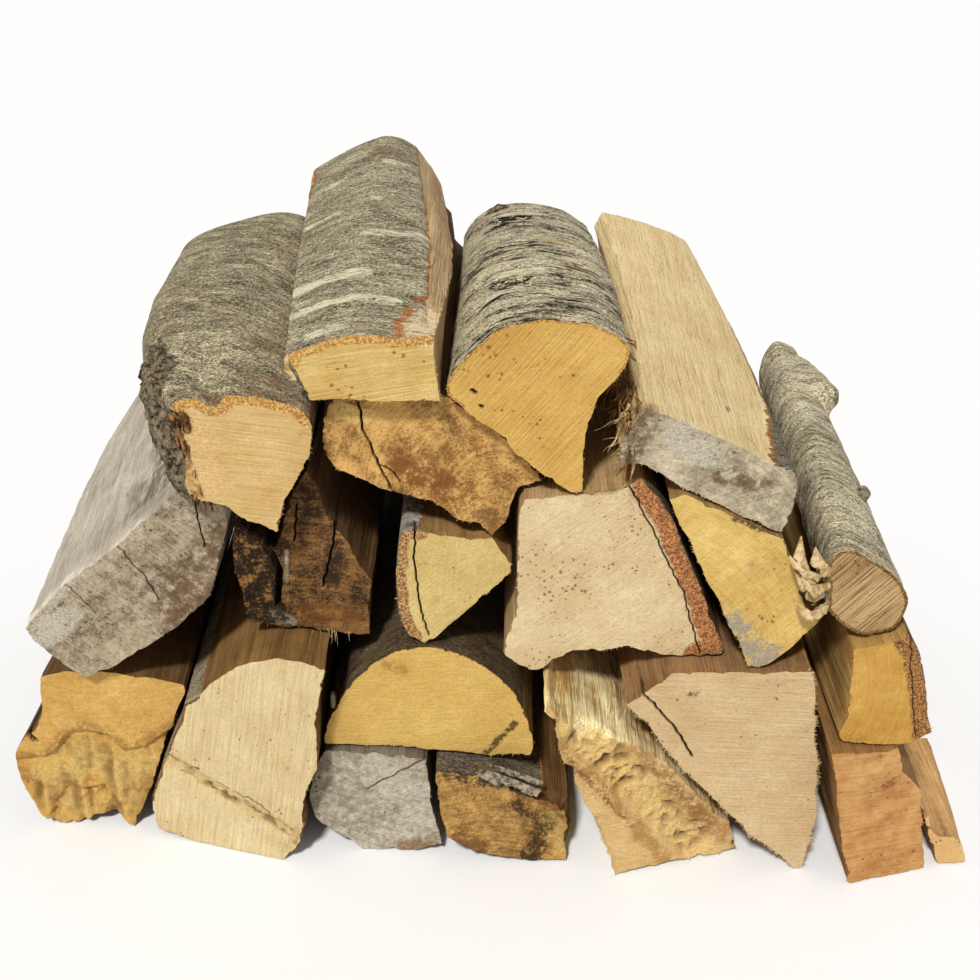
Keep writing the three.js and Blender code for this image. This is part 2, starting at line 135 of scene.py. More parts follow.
lamp_data = bpy.data.lights.new("soft_lamp", "SUN")
lamp_data.energy = LAMP_STRENGTH
lamp_data.angle = math.radians(LAMP_SPREAD)
lamp_data.color = LAMP_TINT
lamp = put_in_scene("soft_lamp", lamp_data)
lamp.location = LAMP_FROM
lamp.rotation_euler = (-Vector(LAMP_FROM)).to_track_quat("-Z", "Y").to_euler()
print("lamp shines from", LAMP_FROM)

# %% [markdown]
# ## Chance that repeats
#
# Wood needs unevenness everywhere, and the same unevenness each time the lesson runs. This
# function gives a smooth number from -1 to 1 for any point, from chance numbers at the corners
# of a box grid. The size of a box, in millimetres, is the size of the bumps. Rough chance adds
# finer layers of the same, each half as large and half as strong as the one before.

# %% Smooth chance
# Large odd numbers that scramble a grid corner's place into a chance number.
CORNER_SCRAMBLE = (73856093, 19349663, 83492791)
SEED_SCRAMBLE = 9781
LAST_SCRAMBLE = 1274126177
SEED_SHIFT = 7.31


def soft_chance(points, cell, seed):
    place = np.asarray(points, float) / np.asarray(cell, float) + seed * SEED_SHIFT
    corner = np.floor(place).astype(np.int64)
    part = place - corner
    part = part * part * (3 - 2 * part)
    total = np.zeros(len(place))
    for step in np.ndindex(2, 2, 2):
        key = (corner + step) @ np.array(CORNER_SCRAMBLE) + seed * SEED_SCRAMBLE
        key = (key ^ (key >> 13)) * LAST_SCRAMBLE & 0xFFFFFFFF
        value = ((key ^ (key >> 16)) & 0xFFFF) / 32767.5 - 1
        weight = np.prod(np.where(step, part, 1 - part), axis=1)
        total += weight * value
    return total


def rough_chance(points, cell, seed, layers=3):
    cell = np.asarray(cell, float)
    total = sum(soft_chance(points, cell / 2 ** n, seed + n) / 2 ** n for n in range(layers))
    return total / 1.5


def chance_share(points, cell, seed, layers=3):
    return 0.5 + 0.5 * rough_chance(points, cell, seed, layers)


# %% [markdown]
# ## Reading a plain log
#
# The plain logs are coarse. To put a fine skin on one, we cut it into thin slices, from its front
# sawn end to its back one, as a bread knife would. Where an end was sawn at a slant, the first
# slices slant with it.

# %% Points and triangles of a plain log
END_BAND = 45.0
FACES_THE_END = 0.9


def plain_log(name):
    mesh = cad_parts[name].data
    mesh.calc_loop_triangles()
    points = np.array([vertex.co for vertex in mesh.vertices]) / MM
    corners = np.array([triangle.vertices for triangle in mesh.loop_triangles])
    unique, place = np.unique(np.round(points, 3), axis=0, return_inverse=True)
    corners = place.reshape(-1)[corners]
    keep = [len(set(corner)) == 3 for corner in corners]
    return unique, corners[keep]


def sawn_plane(points, corners, towards):
    a, b, c = (points[corners[:, i]] for i in range(3))
    across = np.cross(b - a, c - a)
    size = np.linalg.norm(across, axis=1)
    normal = across / np.maximum(size, 1e-9)[:, None]
    middle = (a + b + c) / 3
    on_end = normal[:, 1] * towards > FACES_THE_END
    on_end &= middle[:, 1] * towards > (points[:, 1] * towards).max() - END_BAND
    middle = middle[on_end]
    weight = size[on_end][:, None]
    place = (middle * weight).sum(0) / weight.sum()
    facing = (normal[on_end] * weight).sum(0)
    return place, facing / np.linalg.norm(facing) * towards


def slice_log(points, corners, place, facing):
    height = (points - place) @ facing
    above = height >= 0
    follow = {}
    spot = {}
    for triangle in corners:
        start = end = None
        for i in range(3):
            a, b = triangle[i], triangle[(i + 1) % 3]
            if above[a] != above[b]:
                key = (min(a, b), max(a, b))
                share = height[a] / (height[a] - height[b])
                spot[key] = points[a] + (points[b] - points[a]) * share
                if above[b]:
                    start = key
                else:
                    end = key
        if start is not None:
            follow[start] = end
    loops = []
    while follow:
        key = next(iter(follow))
        loop = []
        while key in follow:
            loop.append(spot[key])
            key = follow.pop(key)
        loops.append(np.array(loop))
    return max(loops, key=len)


# %% [markdown]
# ## Even steps round a slice
#
# Every slice gets the same number of points, evenly spaced and counted from its lowest side, so
# that the points of neighbouring slices can be joined into four-sided faces.

# %% Even steps
def even_loop(loop, count):
    middle = loop.mean(0)
    if np.cross(loop - middle, np.roll(loop, -1, 0) - middle)[:, 1].sum() > 0:
        loop = loop[::-1]
    around = np.vstack([loop, loop[:1]])
    run = np.r_[0, np.cumsum(np.linalg.norm(np.diff(around, axis=0), axis=1))]
    angle = np.unwrap(np.arctan2(around[:, 2] - middle[2], around[:, 0] - middle[0]))
    down = -math.pi / 2
    while down < angle[0]:
        down += 2 * math.pi
    start = np.interp(down, np.maximum.accumulate(angle), run)
    steps = (start + np.arange(count) / count * run[-1]) % run[-1]
    return np.stack([np.interp(steps, run, around[:, axis]) for axis in range(3)], axis=1)


print("tools for slicing are ready")

# %% [markdown]
# ## What each log is like
#
# A maker would note a few things about each piece: which part of its outline still carries bark,
# where the heart of the tree lay, which way the saw ran over the end, and what is torn, cracked or
# stained. Angles run round the log as seen from the front, with 0 to the right and 90 upwards.
# Places are in millimetres in the stack's own frame.

# %% Notes on the logs
# slot: the kind of beech. heart: the tree's heart as (x, z). saw: the slope of the saw scores.
# end and side: what differs from the usual finish. end_tones: light, deep, speck and the inner
# bark's light and dark. side_tones and bark_tones: the light tone and the dark one.
# bark: arcs that carry bark, with its thickness in bark_mm. rim: arcs where the inner bark shows
# on the end, if fewer. rounding: how often the corners under the bark are smoothed.
# cracks: (bent line on the front end, width, depth). hollows: (bent line, reach, depth, roughness).
# ledges: (bent line on the front end, step down below it, depth of the flutes below it).
# snug: (bent line, reach) where two logs press and the side keeps its full size.
# stains: (kind, bent line, reach). ribs, gnarl and end_gnarl: depth of wrinkles and of lumps.
# fringe: how much torn fibre hangs on the sawn edge. slices: how many the log is cut into.
LOGS = {
    "torn_orange_log": dict(
        # Its side tones are partly the wood's brown and partly painted shade under the log above.
        slot="orange_beech", heart=(-200, 300), saw=85, side_tones=("#7d5c36", "#46311b"),
        end=dict(score=0.05, rings=0.2, specks=0.1, mottle=0.6, contrast=1.1, rough=2.2),
        end_tones=("#ffd47e", "#cf9540"), snug=[([(-155, -110, 86), (-155, 110, 86)], 12)],
        cracks=[([(-240, 62), (-234, 62), (-231, 57)], 2.0, 6)],
        ledges=[([(-242, 46), (-230, 48), (-222, 50), (-216, 60), (-206, 64), (-194, 61), (-188, 51),
                  (-176, 54), (-160, 66), (-150, 74)], 1.4, 2.6),
                ([(-232, 6), (-226, 18), (-219, 27), (-208, 25), (-200, 28), (-194, 12)], 1.2, 1.2)],
        # The tan lines along the ledges are the torn ridges' own brown and painted shade above each step.
        stains=[("tan", [(-240, -102, 47), (-221, -102, 50), (-216, -102, 61), (-205, -102, 65),
                          (-193, -102, 61), (-188, -102, 52), (-177, -102, 55), (-160, -102, 66)], 4.0),
                ("tan", [(-228, -102, 16), (-219, -102, 28), (-208, -102, 26), (-198, -102, 28)], 3.2),
                ("tan", [(-200, -102, 56), (-199, -102, 34)], 3.0),
                ("gold", [(-226, -102, 36), (-206, -102, 46), (-190, -102, 38), (-176, -102, 42)], 12),
                ("gold", [(-216, -102, 14), (-186, -102, 20)], 9)],
    ),
    "torn_pale_log": dict(
        slot="pale_beech", heart=(-60, 20), saw=80, end=dict(score=0.8, rings=0.1, mottle=0.3),
        end_tones=("#e8d6a8", "#c2a46f", "#5f4430", "#8a6238", "#5a3c1e"),
        bark=[(118, 215)], bark_mm=1.3, bark_tones=("#b3a588", "#6f624c"), rounding=0,
        snug=[([(-155, -110, 86), (-155, 110, 86)], 12)],
        # Its side tones are partly the wood's brown and partly painted shade under the logs above.
        side_tones=("#94703f", "#5a3f1f"),
        cracks=[([(-172, 54), (-163, 52), (-149, 47)], 1.2, 2.4), ([(-145, 44), (-133, 39)], 0.8, 1.6),
                ([(-130, 38), (-117, 33), (-112, 28)], 0.8, 1.4), ([(-108, 26), (-101, 20)], 0.8, 1.4),
                ([(-158, 44), (-150, 41)], 0.6, 1.1), ([(-144, 38), (-131, 32)], 0.8, 1.3),
                ([(-124, 29), (-116, 25)], 0.6, 1.1), ([(-112, 22), (-104, 16)], 0.7, 1.1)],
        hollows=[([(-100, -128, 4), (-95, -128, 16)], 9, 1.5, 3.0),
                 ([(-164, -109, 50), (-148, -113, 41), (-128, -119, 31), (-103, -126, 18)], 4.5, 0.3, 3.2)],
        stains=[("khaki", [(-102, -128, 8), (-97, -128, 18)], 7),
                ("khaki", [(-164, -109, 50), (-148, -113, 41), (-128, -119, 31), (-103, -126, 18)], 4.0)],
    ),
    "grey_bottom_log": dict(
        slot="grey_sawn_beech", heart=(-30, 120), saw=35, gnarl=1.5, end_gnarl=2.2,
        end=dict(score=0.15, contrast=1.7, mottle=0.8, rough=3.4), end_tones=("#f6ead0", "#a39780"),
        side_tones=("#8f8372", "#564c40"),
        cracks=[([(-34, 59), (-48, 50), (-64, 39)], 0.6, 2.0)],
        stains=[("tan", [(-50, -119, 3), (-36, -119, 6)], 4.5),
                ("mould", [(-60, -119, 54), (-40, -119, 40)], 5)],
    ),
    "brown_bottom_log": dict(
        slot="brown_beech", heart=(0, -30), saw=60, gnarl=2.0, end_gnarl=1.4,
        end=dict(score=0.15, contrast=1.6, mottle=0.9, rough=2.8),
        bark=[(35, 150)], bark_mm=1.0, bark_tones=("#7d7263", "#2f261c"),
        end_tones=("#f6c270", "#906834"),
        hollows=[([(20, -127, 40), (34, -127, 30), (38, -127, 18)], 10, 1.5, 4)],
        stains=[("rot", [(12, -127, 34), (24, -127, 24), (18, -127, 6)], 6),
                ("gold", [(24, -127, 28), (33, -127, 16), (32, -127, 8)], 5),
                ("rust", [(-20, -127, 18), (-12, -127, 10)], 7),
                ("rot", [(-24, -127, 54), (0, -127, 50), (20, -127, 42), (36, -127, 34)], 4),
                ("rot", [(38, -127, 30), (40, -127, 6)], 4)],
    ),
    "spalted_log": dict(
        slot="spalted_beech", heart=(140, 160), saw=-3, gnarl=5.0, end_tones=("#f8d99a", "#cf9f5c"),
        end=dict(specks=0.3, score=0.25, mottle=0.4, rough=1.6),
        side=dict(streak_share=1.7), side_tones=("#fff0b8", "#ad884c"),
        hollows=[([(42, -142, 88), (60, -137, 64), (80, -131, 38), (98, -126, 14)], 12, 1.5, 7.0)],
        stains=[("gold", [(34, -143, 96), (50, -139, 76), (72, -134, 46), (92, -128, 18)], 9),
                ("tan", [(27, -145, 90), (48, -139, 58), (68, -134, 28), (84, -130, 4)], 4.5),
                ("tan", [(64, -139, 76), (96, -128, 32), (112, -122, 14)], 7),
                ("rot", [(34, -144, 76), (52, -139, 50), (66, -135, 30)], 1.6),
                ("brown", [(74, -134, 62), (104, -124, 24)], 5),
                ("gold", [(30, -120, 108), (38, -60, 106), (44, 20, 106)], 9),
                ("gold", [(52, -112, 94), (58, -60, 96)], 6),
                ("rot", [(46, -118, 96), (50, -60, 98), (50, 0, 98)], 2.4),
                ("rot", [(34, -130, 100), (40, -90, 104)], 2.0),
                ("brown", [(62, -110, 88), (62, -40, 90), (62, 20, 90)], 6)],
    ),
    "pale_wedge_log": dict(
        slot="pale_beech", heart=(60, 20), saw=-3, fringe=2.6,
        end=dict(score=0.45, rings=0.15, specks=0.6, mottle=0.4), side_tones=("#a98257", "#6a4a2a"),
        cracks=[([(66, 107), (78, 94), (88, 79), (93, 69)], 0.8, 3)],
        stains=[("khaki", [(80, -128, 60), (112, -126, 20)], 9),
                ("rot", [(88, -130, 106), (94, -130, 105)], 2)],
    ),
    "orange_square_log": dict(
        slot="orange_beech", heart=(190, 300), saw=0,
        end=dict(rings=0.25, score=0.25, mottle=0.9, contrast=1.3),
        end_tones=("#e4b474", "#aa7038"), side_tones=("#a87d48", "#6b4b2a"),
        stains=[("rust", [(158, -138, 71), (180, -136, 75)], 4),
                ("rust", [(172, -138, 54), (190, -136, 60)], 3)],
    ),
    "thin_sliver_log": dict(
        slot="pale_beech", heart=(120, 20), saw=15, gnarl=1.5, end=dict(score=0.2, mottle=0.5),
        cracks=[([(212, 24), (218, 20), (224, 17)], 0.6, 1.0)],
        end_tones=("#f4cc8c", "#c09258"), side_tones=("#e6b87c", "#a27647"),
    ),
    "half_moon_log": dict(
        slot="fresh_yellow_beech", heart=(-30, 55), saw=2,
        end=dict(score=0.22, rings=0.2, specks=0.1, mottle=0.4),
        rounding=8, bark=[(2, 178)], bark_mm=0.7, bark_tones=("#6b573f", "#2c2116"),
        end_tones=("#e5c272", "#c2994c", "#7d5226", "#a8854a", "#6b4c26"),
        stains=[("rot", [(-8, -113, 55), (2, -113, 67), (9, -113, 76)], 2.0),
                ("rust", [(-53, -113, 61)], 2.0),
                ("tan", [(-52, -113, 110), (-45, -113, 107)], 3.4)],
    ),
    "grey_weathered_log": dict(
        slot="weathered_beech", heart=(-100, 100), saw=-42, end_gnarl=1.0, side_tones=("#d3c8b5", "#8f8371"),
        end=dict(score=0.35, rings=0.1, specks=0.6, contrast=1.5, mottle=1.1, rough=2.6),
        end_tones=("#e8d2b0", "#6e5c48"),
        side=dict(streak_share=0.9), snug=[([(-122, -110, 200), (-121, 100, 150), (-122, -110, 130)], 12)],
        cracks=[([(-178, 177), (-175, 173), (-165, 159), (-158, 144)], 0.5, 3.0),
                ([(-137, 196), (-136, 184), (-134, 172)], 0.5, 2.5),
                ([(-204, 156), (-189, 137)], 0.45, 1.5)],
        stains=[("mould", [(-224, -108, 128), (-206, -108, 152), (-184, -108, 172), (-166, -108, 186)], 7),
                ("mould", [(-216, -110, 122), (-202, -110, 134)], 7),
                ("mould", [(-190, -60, 178), (-170, -60, 190)], 5),
                ("black", [(-206, -108, 140), (-201, -108, 136)], 4),
                ("brown", [(-150, -108, 140), (-130, -108, 170)], 14),
                # The grey-brown streak on the top side is the burl's shadow, painted.
                ("umber", [(-166, -82, 186), (-160, -48, 191), (-158, 0, 191)], 17)],
    ),
    "brown_cracked_log": dict(
        slot="brown_beech", heart=(-90, 60), saw=15, gnarl=1.5, end_gnarl=1.2,
        end_tones=("#b28048", "#332113"),
        end=dict(score=0.15, contrast=1.5, mottle=1.1, rough=1.8),
        snug=[([(-122, -104, 120), (-122, 100, 150), (-122, -104, 200)], 14)],
        cracks=[([(-114, 176), (-109, 171), (-103, 162), (-102, 155), (-104, 136)], 2.0, 12),
                ([(-75, 182), (-76, 170), (-82, 147)], 0.7, 4),
                ([(-92, 190), (-94, 172)], 0.6, 3)],
        stains=[("mould", [(-98, -104, 166), (-99, -104, 150)], 1.6),
                ("mould", [(-106, -104, 132), (-98, -104, 128)], 3.4),
                # The dark patch over the left lobe is painted shade.
                ("shade", [(-121, -104, 182), (-117, -104, 134)], 24),
                ("rot", [(-88, -104, 198), (-84, -104, 186)], 6),
                ("rot", [(-74, -104, 168), (-78, -104, 150)], 5),
                ("rust", [(-92, -104, 134), (-68, -104, 130)], 5)],
    ),
    "wedge_log": dict(
        slot="fresh_yellow_beech", heart=(60, 150), saw=42, bark=[(112, 245)], bark_mm=5.0,
        end=dict(score=0.3, mottle=0.6), bark_tones=("#c9c2b2", "#7b7466"),
        end_tones=("#e4cb8a", "#be9e5a", "#7d5226", "#c9a26a", "#80562f"),
        cracks=[([(-38, 184), (-38, 160), (-36, 140), (-33, 124)], 0.6, 3)],
        stains=[("pale", [(-44, -100, 175), (-44, -100, 140)], 5)],
    ),
    "large_pale_log": dict(
        slot="pale_beech", heart=(-60, 130), saw=38,
        end=dict(score=0.25, rings=0.1, specks=1.0, mottle=0.6, contrast=1.2),
        end_tones=("#e6d2a8", "#c5a474", "#5f4430", "#cb8c58", "#7e4e30"),
        bark=[(-40, 72)], bark_mm=8.5, bark_tones=("#6a5c48", "#2f261b"),
        cracks=[([(57, 209), (67, 191), (77, 169), (86, 150), (92, 128), (97, 112)], 0.5, 2)],
        stains=[("brown", [(20, -119, 206), (50, -119, 207)], 3)],
    ),
    "yellow_split_log": dict(
        slot="fresh_yellow_beech", heart=(60, 120), saw=45, end=dict(score=0.25, mottle=0.8, contrast=1.4),
        end_tones=("#ebcb7c", "#c0964c"),
        stains=[("grey", [(104, -128, 138), (113, -128, 126), (122, -128, 122)], 13),
                ("rot", [(104, -128, 196), (118, -128, 190)], 2.0),
                ("grey", [(113, -128, 173)], 1.8)],
    ),
    "barked_square_log": dict(
        slot="fresh_yellow_beech", heart=(100, 110), saw=60, bark=[(-45, 78)], bark_mm=8.0,
        end=dict(score=0.2, mottle=0.7, contrast=1.3),
        end_tones=("#d8ae5a", "#b47e30", "#7d5226", "#bd8a50", "#6b4225"),
        bark_tones=("#94745a", "#4a3324"), side_tones=("#c39a5a", "#8a6838"),
        cracks=[([(186, 142), (191, 112), (196, 84)], 0.4, 1.4)],
        stains=[("rust", [(157, -128, 142), (160, -128, 96), (186, -128, 92)], 2.0)],
    ),
    "set_back_brown_log": dict(
        slot="brown_beech", heart=(0, 200), saw=30,
        end=dict(specks=0.5, score=0.15, mottle=1.3, contrast=1.7),
        end_tones=("#e4b46a", "#80582a"), end_gnarl=0.8,
        cracks=[([(-62, 250), (-59, 232), (-55, 219), (-52, 212), (-46, 198)], 0.7, 5),
                ([(-53, 214), (-48, 212), (-44, 206)], 0.6, 3)],
        stains=[("gold", [(-68, -111, 240), (-50, -111, 236)], 4),
                ("brown", [(-30, -111, 242), (-20, -111, 232)], 5),
                ("rust", [(-40, -111, 214), (-16, -111, 200)], 9),
                ("brown", [(-10, -111, 190), (6, -111, 186)], 5)],
    ),
    "burled_bark_log": dict(
        slot="barked_beech", heart=(-150, -120), saw=-8, end=dict(rings=0.5, score=0.4, mottle=0.4),
        bark=[(28, 215)], rim=[(28, 146)], bark_mm=4.6, slices=110, ribs=0.2, rounding=6,
        bark_tones=("#c6b895", "#4f4634"), end_tones=("#e6ca8e", "#bd9252", "#7a4c24", "#dcb068", "#a8783c"),
        side=dict(slope=0.5, lichen_share=1.2, pore_share=0.4, streaks=0.35, dashes=0.3),
        side_tones=("#8a6c48", "#3f2e1d"),
        hollows=[([(-121, -130, 252), (-122, -112, 258)], 4, 4, 1),
                 ([(-137, -124, 240), (-140, -100, 235), (-140, -110, 215), (-136, -120, 206)], 8, 2, 4)],
        stains=[("rot", [(-140, -118, 240), (-148, -96, 240), (-144, -108, 216), (-140, -118, 205)], 7),
                ("pink", [(-132, -124, 242), (-128, -124, 214)], 9),
                ("rust", [(-134, -124, 222), (-131, -124, 206)], 3),
                ("rust", [(-120, -122, 250), (-126, -118, 250)], 2.5),
                ("red", [(-106, -108, 257), (-96, -108, 254)], 7),
                ("red", [(-106, -120, 254), (-88, -120, 250)], 3.5)],
    ),
    "barked_slab_log": dict(
        slot="barked_beech", heart=(-20, -120), saw=10,
        end=dict(rings=0.5, score=0.5, specks=0.8, mottle=0.4),
        bark=[(28, 176)], bark_mm=4.0, slices=120, ribs=0.2, rounding=6,
        bark_tones=("#cdc1a0", "#544c39"), end_tones=("#e6cc86", "#bd934a", "#7a4c24", "#dcb068", "#a8783c"),
        side=dict(slope=0.12, lichen_share=0.9, pore_share=0.4, streaks=0.45, dashes=0.3),
        stains=[("orange", [(-42, -122, 280), (-40, -104, 282), (-36, -84, 284), (-28, -74, 285)], 3.4),
                ("pale", [(-33, -122, 280), (-31, -106, 282), (-28, -90, 284)], 7),
                ("lichen", [(-92, -56, 276), (-76, -58, 284), (-60, -60, 286)], 5.2),
                ("lichen", [(-90, -84, 274), (-66, -86, 282), (-46, -88, 284)], 4.8),
                ("lichen", [(-94, 26, 280), (-80, 25, 288)], 4.0),
                ("lichen", [(-72, 34, 290), (-60, 34, 294)], 3.4),
                ("lichen", [(-82, -113, 276), (-66, -113, 280)], 3.4),
                ("lichen", [(-62, -12, 288), (-34, -10, 289)], 4.4),
                ("lichen", [(-58, 90, 300), (-50, 92, 300)], 4.0),
                ("lichen", [(-92, 76, 290), (-82, 78, 294)], 3.0),
                ("red", [(-64, 108, 302), (-54, 104, 299)], 6)],
    ),
    "half_round_log": dict(
        slot="barked_beech", heart=(20, 222), saw=50, end=dict(rings=0.15, score=0.55, mottle=0.3),
        bark=[(18, 190)], bark_mm=1.3, slices=150, ribs=1.3, rounding=8,
        bark_tones=("#fbeec8", "#66583f"), end_tones=("#e6c070", "#b98739"),
        side=dict(slope=0.1, lichen_share=1.6, pore_share=0.7, crack_share=1.0, streaks=1.2, dashes=1.0),
        cracks=[([(-11, 254), (-10, 253)], 1.1, 2), ([(-8, 247), (-7, 246)], 0.9, 2)],
        hollows=[([(2, 82, 271), (14, 80, 271)], 6, 3, 3), ([(0, -54, 281), (12, -58, 281)], 6, 3, 3)],
        stains=[("black", [(0, 84, 268), (14, 80, 270)], 6),
                ("black", [(-6, 66, 268), (4, 70, 270)], 4),
                ("black", [(-4, -48, 278), (4, -60, 280), (12, -58, 281)], 5),
                ("black", [(-14, -76, 272), (0, -72, 279)], 3.5),
                ("black", [(-20, -40, 270), (-14, -36, 274)], 3.5),
                ("black", [(-26, 0, 262), (-20, 6, 266)], 4),
                ("lichen", [(2, -40, 280), (20, -42, 283)], 5),
                ("lichen", [(6, 96, 268), (22, 92, 270)], 5),
                ("lichen", [(-10, -66, 276), (16, -68, 281)], 3),
                ("khaki", [(26, 20, 278), (38, 22, 276)], 6),
                ("red", [(34, -30, 280), (46, -36, 277)], 4),
                ("pale", [(-18, -84, 266), (-12, -84, 269)], 2.5)],
    ),
    "split_plank_log": dict(
        slot="grey_sawn_beech", heart=(60, 150), saw=20, bark=[(-35, 6)], bark_mm=1.0,
        end=dict(score=0.15, specks=0.9, mottle=1.0, contrast=1.6, rough=2.8),
        end_tones=("#fbe9c6", "#a39274"),
        bark_tones=("#8a8273", "#453e34"), side_tones=("#e9d3a3", "#c7a971"), end_gnarl=0.6,
        side=dict(streak_share=0.75),
        stains=[("brown", [(60, -124, 246), (57, -124, 228)], 9),
                ("brown", [(53, -120, 236), (52, 0, 238), (54, 110, 240)], 9),
                ("rot", [(103, -94, 233), (105, -86, 234)], 1.5),
                ("rot", [(110, -114, 228), (113, -106, 228)], 1.3),
                ("mould", [(78, -124, 236), (92, -124, 226)], 8),
                ("brown", [(96, -124, 216), (116, -124, 212)], 5)],
    ),
    "round_branch_log": dict(
        slot="barked_beech", heart=(166, 158), saw=48, end_gnarl=0.8,
        end=dict(rings=0.1, score=1.3, contrast=1.3, rough=1.5),
        bark=[(-179, 179)], bark_mm=1.7, slices=150, ribs=1.4, rounding=10,
        bark_tones=("#ece0bd", "#80745a"),
        end_tones=("#dbb985", "#8c653a", "#5a3e22", "#a87c44", "#5f4426"),
        side=dict(slope=0.15, lichen_share=0.8, pore_share=0.2, crack_share=0.4, streaks=0.9, dashes=0.4),
        # The rot streak on the front-left flank is painted shade on the dark flat there.
        stains=[("rot", [(148, -60, 160), (146, -122, 162)], 7),
                ("brown", [(152, -126, 182), (168, -127, 182), (180, -126, 174)], 2.5)],
    ),
}
USUAL = dict(bark_mm=1.0, ribs=0.4, gnarl=0.0, end_gnarl=0.0, slices=70, rounding=8, fringe=1.0)
LISTS = ("bark", "cracks", "hollows", "ledges", "snug", "stains")
for name, notes in LOGS.items():
    LOGS[name] = {**USUAL, **{label: [] for label in LISTS}, **notes}
print("notes on", len(LOGS), "logs")

# %% [markdown]
# ## The skin of a log
#
# The slices become rings of points. Then the three kinds of surface are pushed inward by their
# own unevenness: splitting leaves long ridges that run with the grain, bark has short wrinkles
# that run across it. Nothing is pushed outward, so logs that touch don't cut into each other.

# %% Rings of a log
POINT_GAP = 1.7
FRONT_CUT = 0.05
# The slices crowd together towards the front end, where they are seen.
EVEN_SHARE = 0.5
CROWDING = 1.7
OUTER_SHARE = 0.0003
BARK_EDGE_CAP = 60.0
BARK_ROUNDED = (1, 7)
ROUNDING_STEP = 0.5


def log_rings(name, slices):
    points, corners = plain_log(name)
    front, front_facing = sawn_plane(points, corners, -1)
    back, back_facing = sawn_plane(points, corners, 1)
    first = slice_log(points, corners, front + front_facing * FRONT_CUT, front_facing)
    girth = np.linalg.norm(first - np.roll(first, -1, 0), axis=1).sum()
    count = int(girth / POINT_GAP)
    rings = []
    for t in np.linspace(0, 1, slices):
        share = EVEN_SHARE * t + (1 - EVEN_SHARE) * t ** CROWDING
        share = min(max(share, OUTER_SHARE), 1 - OUTER_SHARE)
        facing = front_facing * (1 - share) + back_facing * share
        loop = slice_log(points, corners, front + (back - front) * share, facing)
        rings.append(even_loop(loop, count))
    return np.array(rings), front_facing, back_facing


def bark_reach(angle, size, arcs):
    reach = np.full(angle.shape, -BARK_EDGE_CAP)
    for start, end in arcs:
        half = (end - start) / 2
        off = np.abs((angle - (start + half) + 180) % 360 - 180)
        reach = np.maximum(reach, np.radians(half - off) * size)
    return reach


def outward(rings):
    along = np.roll(rings, -1, 1) - np.roll(rings, 1, 1)
    normal = np.stack([along[..., 2], np.zeros(along.shape[:2]), -along[..., 0]], axis=2)
    return normal / np.linalg.norm(normal, axis=2)[..., None]


def smooth_step(value, low, high):
    t = np.clip((value - low) / (high - low), 0, 1)
    return t * t * (3 - 2 * t)


def rounded(rings, reach, rounds):
    share = smooth_step(reach, *BARK_ROUNDED)[..., None]
    for _ in range(rounds):
        between = (np.roll(rings, 1, 1) + np.roll(rings, -1, 1)) / 2
        rings = rings + (between - rings) * ROUNDING_STEP * share
    return rings


# %% Relief of the sides
# Sizes of the bumps along x, y and z in millimetres: ridges and fibres of split wood, bark's
# swellings and ribs, lumps of gnarled wood and nicks at the sawn edge.
RIDGE = (9, 160, 9)
FINE_RIDGE = (2.5, 40, 2.5)
BARK_SWELL = (22, 14, 22)
BARK_RIB = (24, 3.6, 24)
GNARL = (8, 24, 8)
NICK = (3.2, 9, 3.2)
RIDGE_DEPTH = 1.1
FINE_RIDGE_DEPTH = 0.5
BARK_SWELL_DEPTH = 0.8
NICK_DEPTH = 1.2
NICK_FADE = 7.0
BARK_EDGE_BLEND = 1.5
RELIEF_SPARED = 0.55


def near_line(points, line):
    line = [np.array(place, float) for place in line]
    if len(line) == 1:
        return np.linalg.norm(points - line[0], axis=1)
    nearest = np.full(len(points), 1e9)
    for a, b in zip(line[:-1], line[1:]):
        way = b - a
        share = np.clip(((points - a) @ way) / (way @ way), 0, 1)
        nearest = np.minimum(nearest, np.linalg.norm(points - a - share[:, None] * way, axis=1))
    return nearest


def side_relief(rings, reach, notes, seed):
    places = rings.reshape(-1, 3)
    split = RIDGE_DEPTH * chance_share(places, RIDGE, seed)
    split += FINE_RIDGE_DEPTH * chance_share(places, FINE_RIDGE, seed + 5)
    bark = BARK_SWELL_DEPTH * chance_share(places, BARK_SWELL, seed + 11, 4)
    bark += notes["ribs"] * chance_share(places, BARK_RIB, seed + 17)
    lumps = notes["gnarl"] * chance_share(places, GNARL, seed + 53, 4) ** 1.5
    mix = smooth_step(reach.reshape(-1), -BARK_EDGE_BLEND, BARK_EDGE_BLEND)
    lead = np.repeat(np.abs(rings[:, :, 1] - rings[0, :, 1]).mean(1), rings.shape[1])
    nicks = NICK_DEPTH * smooth_step(rough_chance(places, NICK, seed + 41), 0.0, 0.8)
    nicks *= np.exp(-lead / NICK_FADE)
    sunk = np.maximum(0, split * (1 - mix) + bark * mix + nicks + lumps - RELIEF_SPARED)
    for line, reach_here in notes["snug"]:
        sunk *= smooth_step(near_line(places, line), reach_here * 0.5, reach_here)
    return sunk.reshape(rings.shape[:2])


# %% [markdown]
# ## Closing the ends
#
# Each end is filled with an even scatter of points inside the outline, joined into triangles.
# Blender's own Delaunay helper does the joining and keeps the outline as it is.

# %% Filling an end
FRONT_GAP = 1.25
BACK_GAP = 2.4
SCATTER = 0.12
RIM_SPARED = 0.55
WELD_GAP = 1e-5


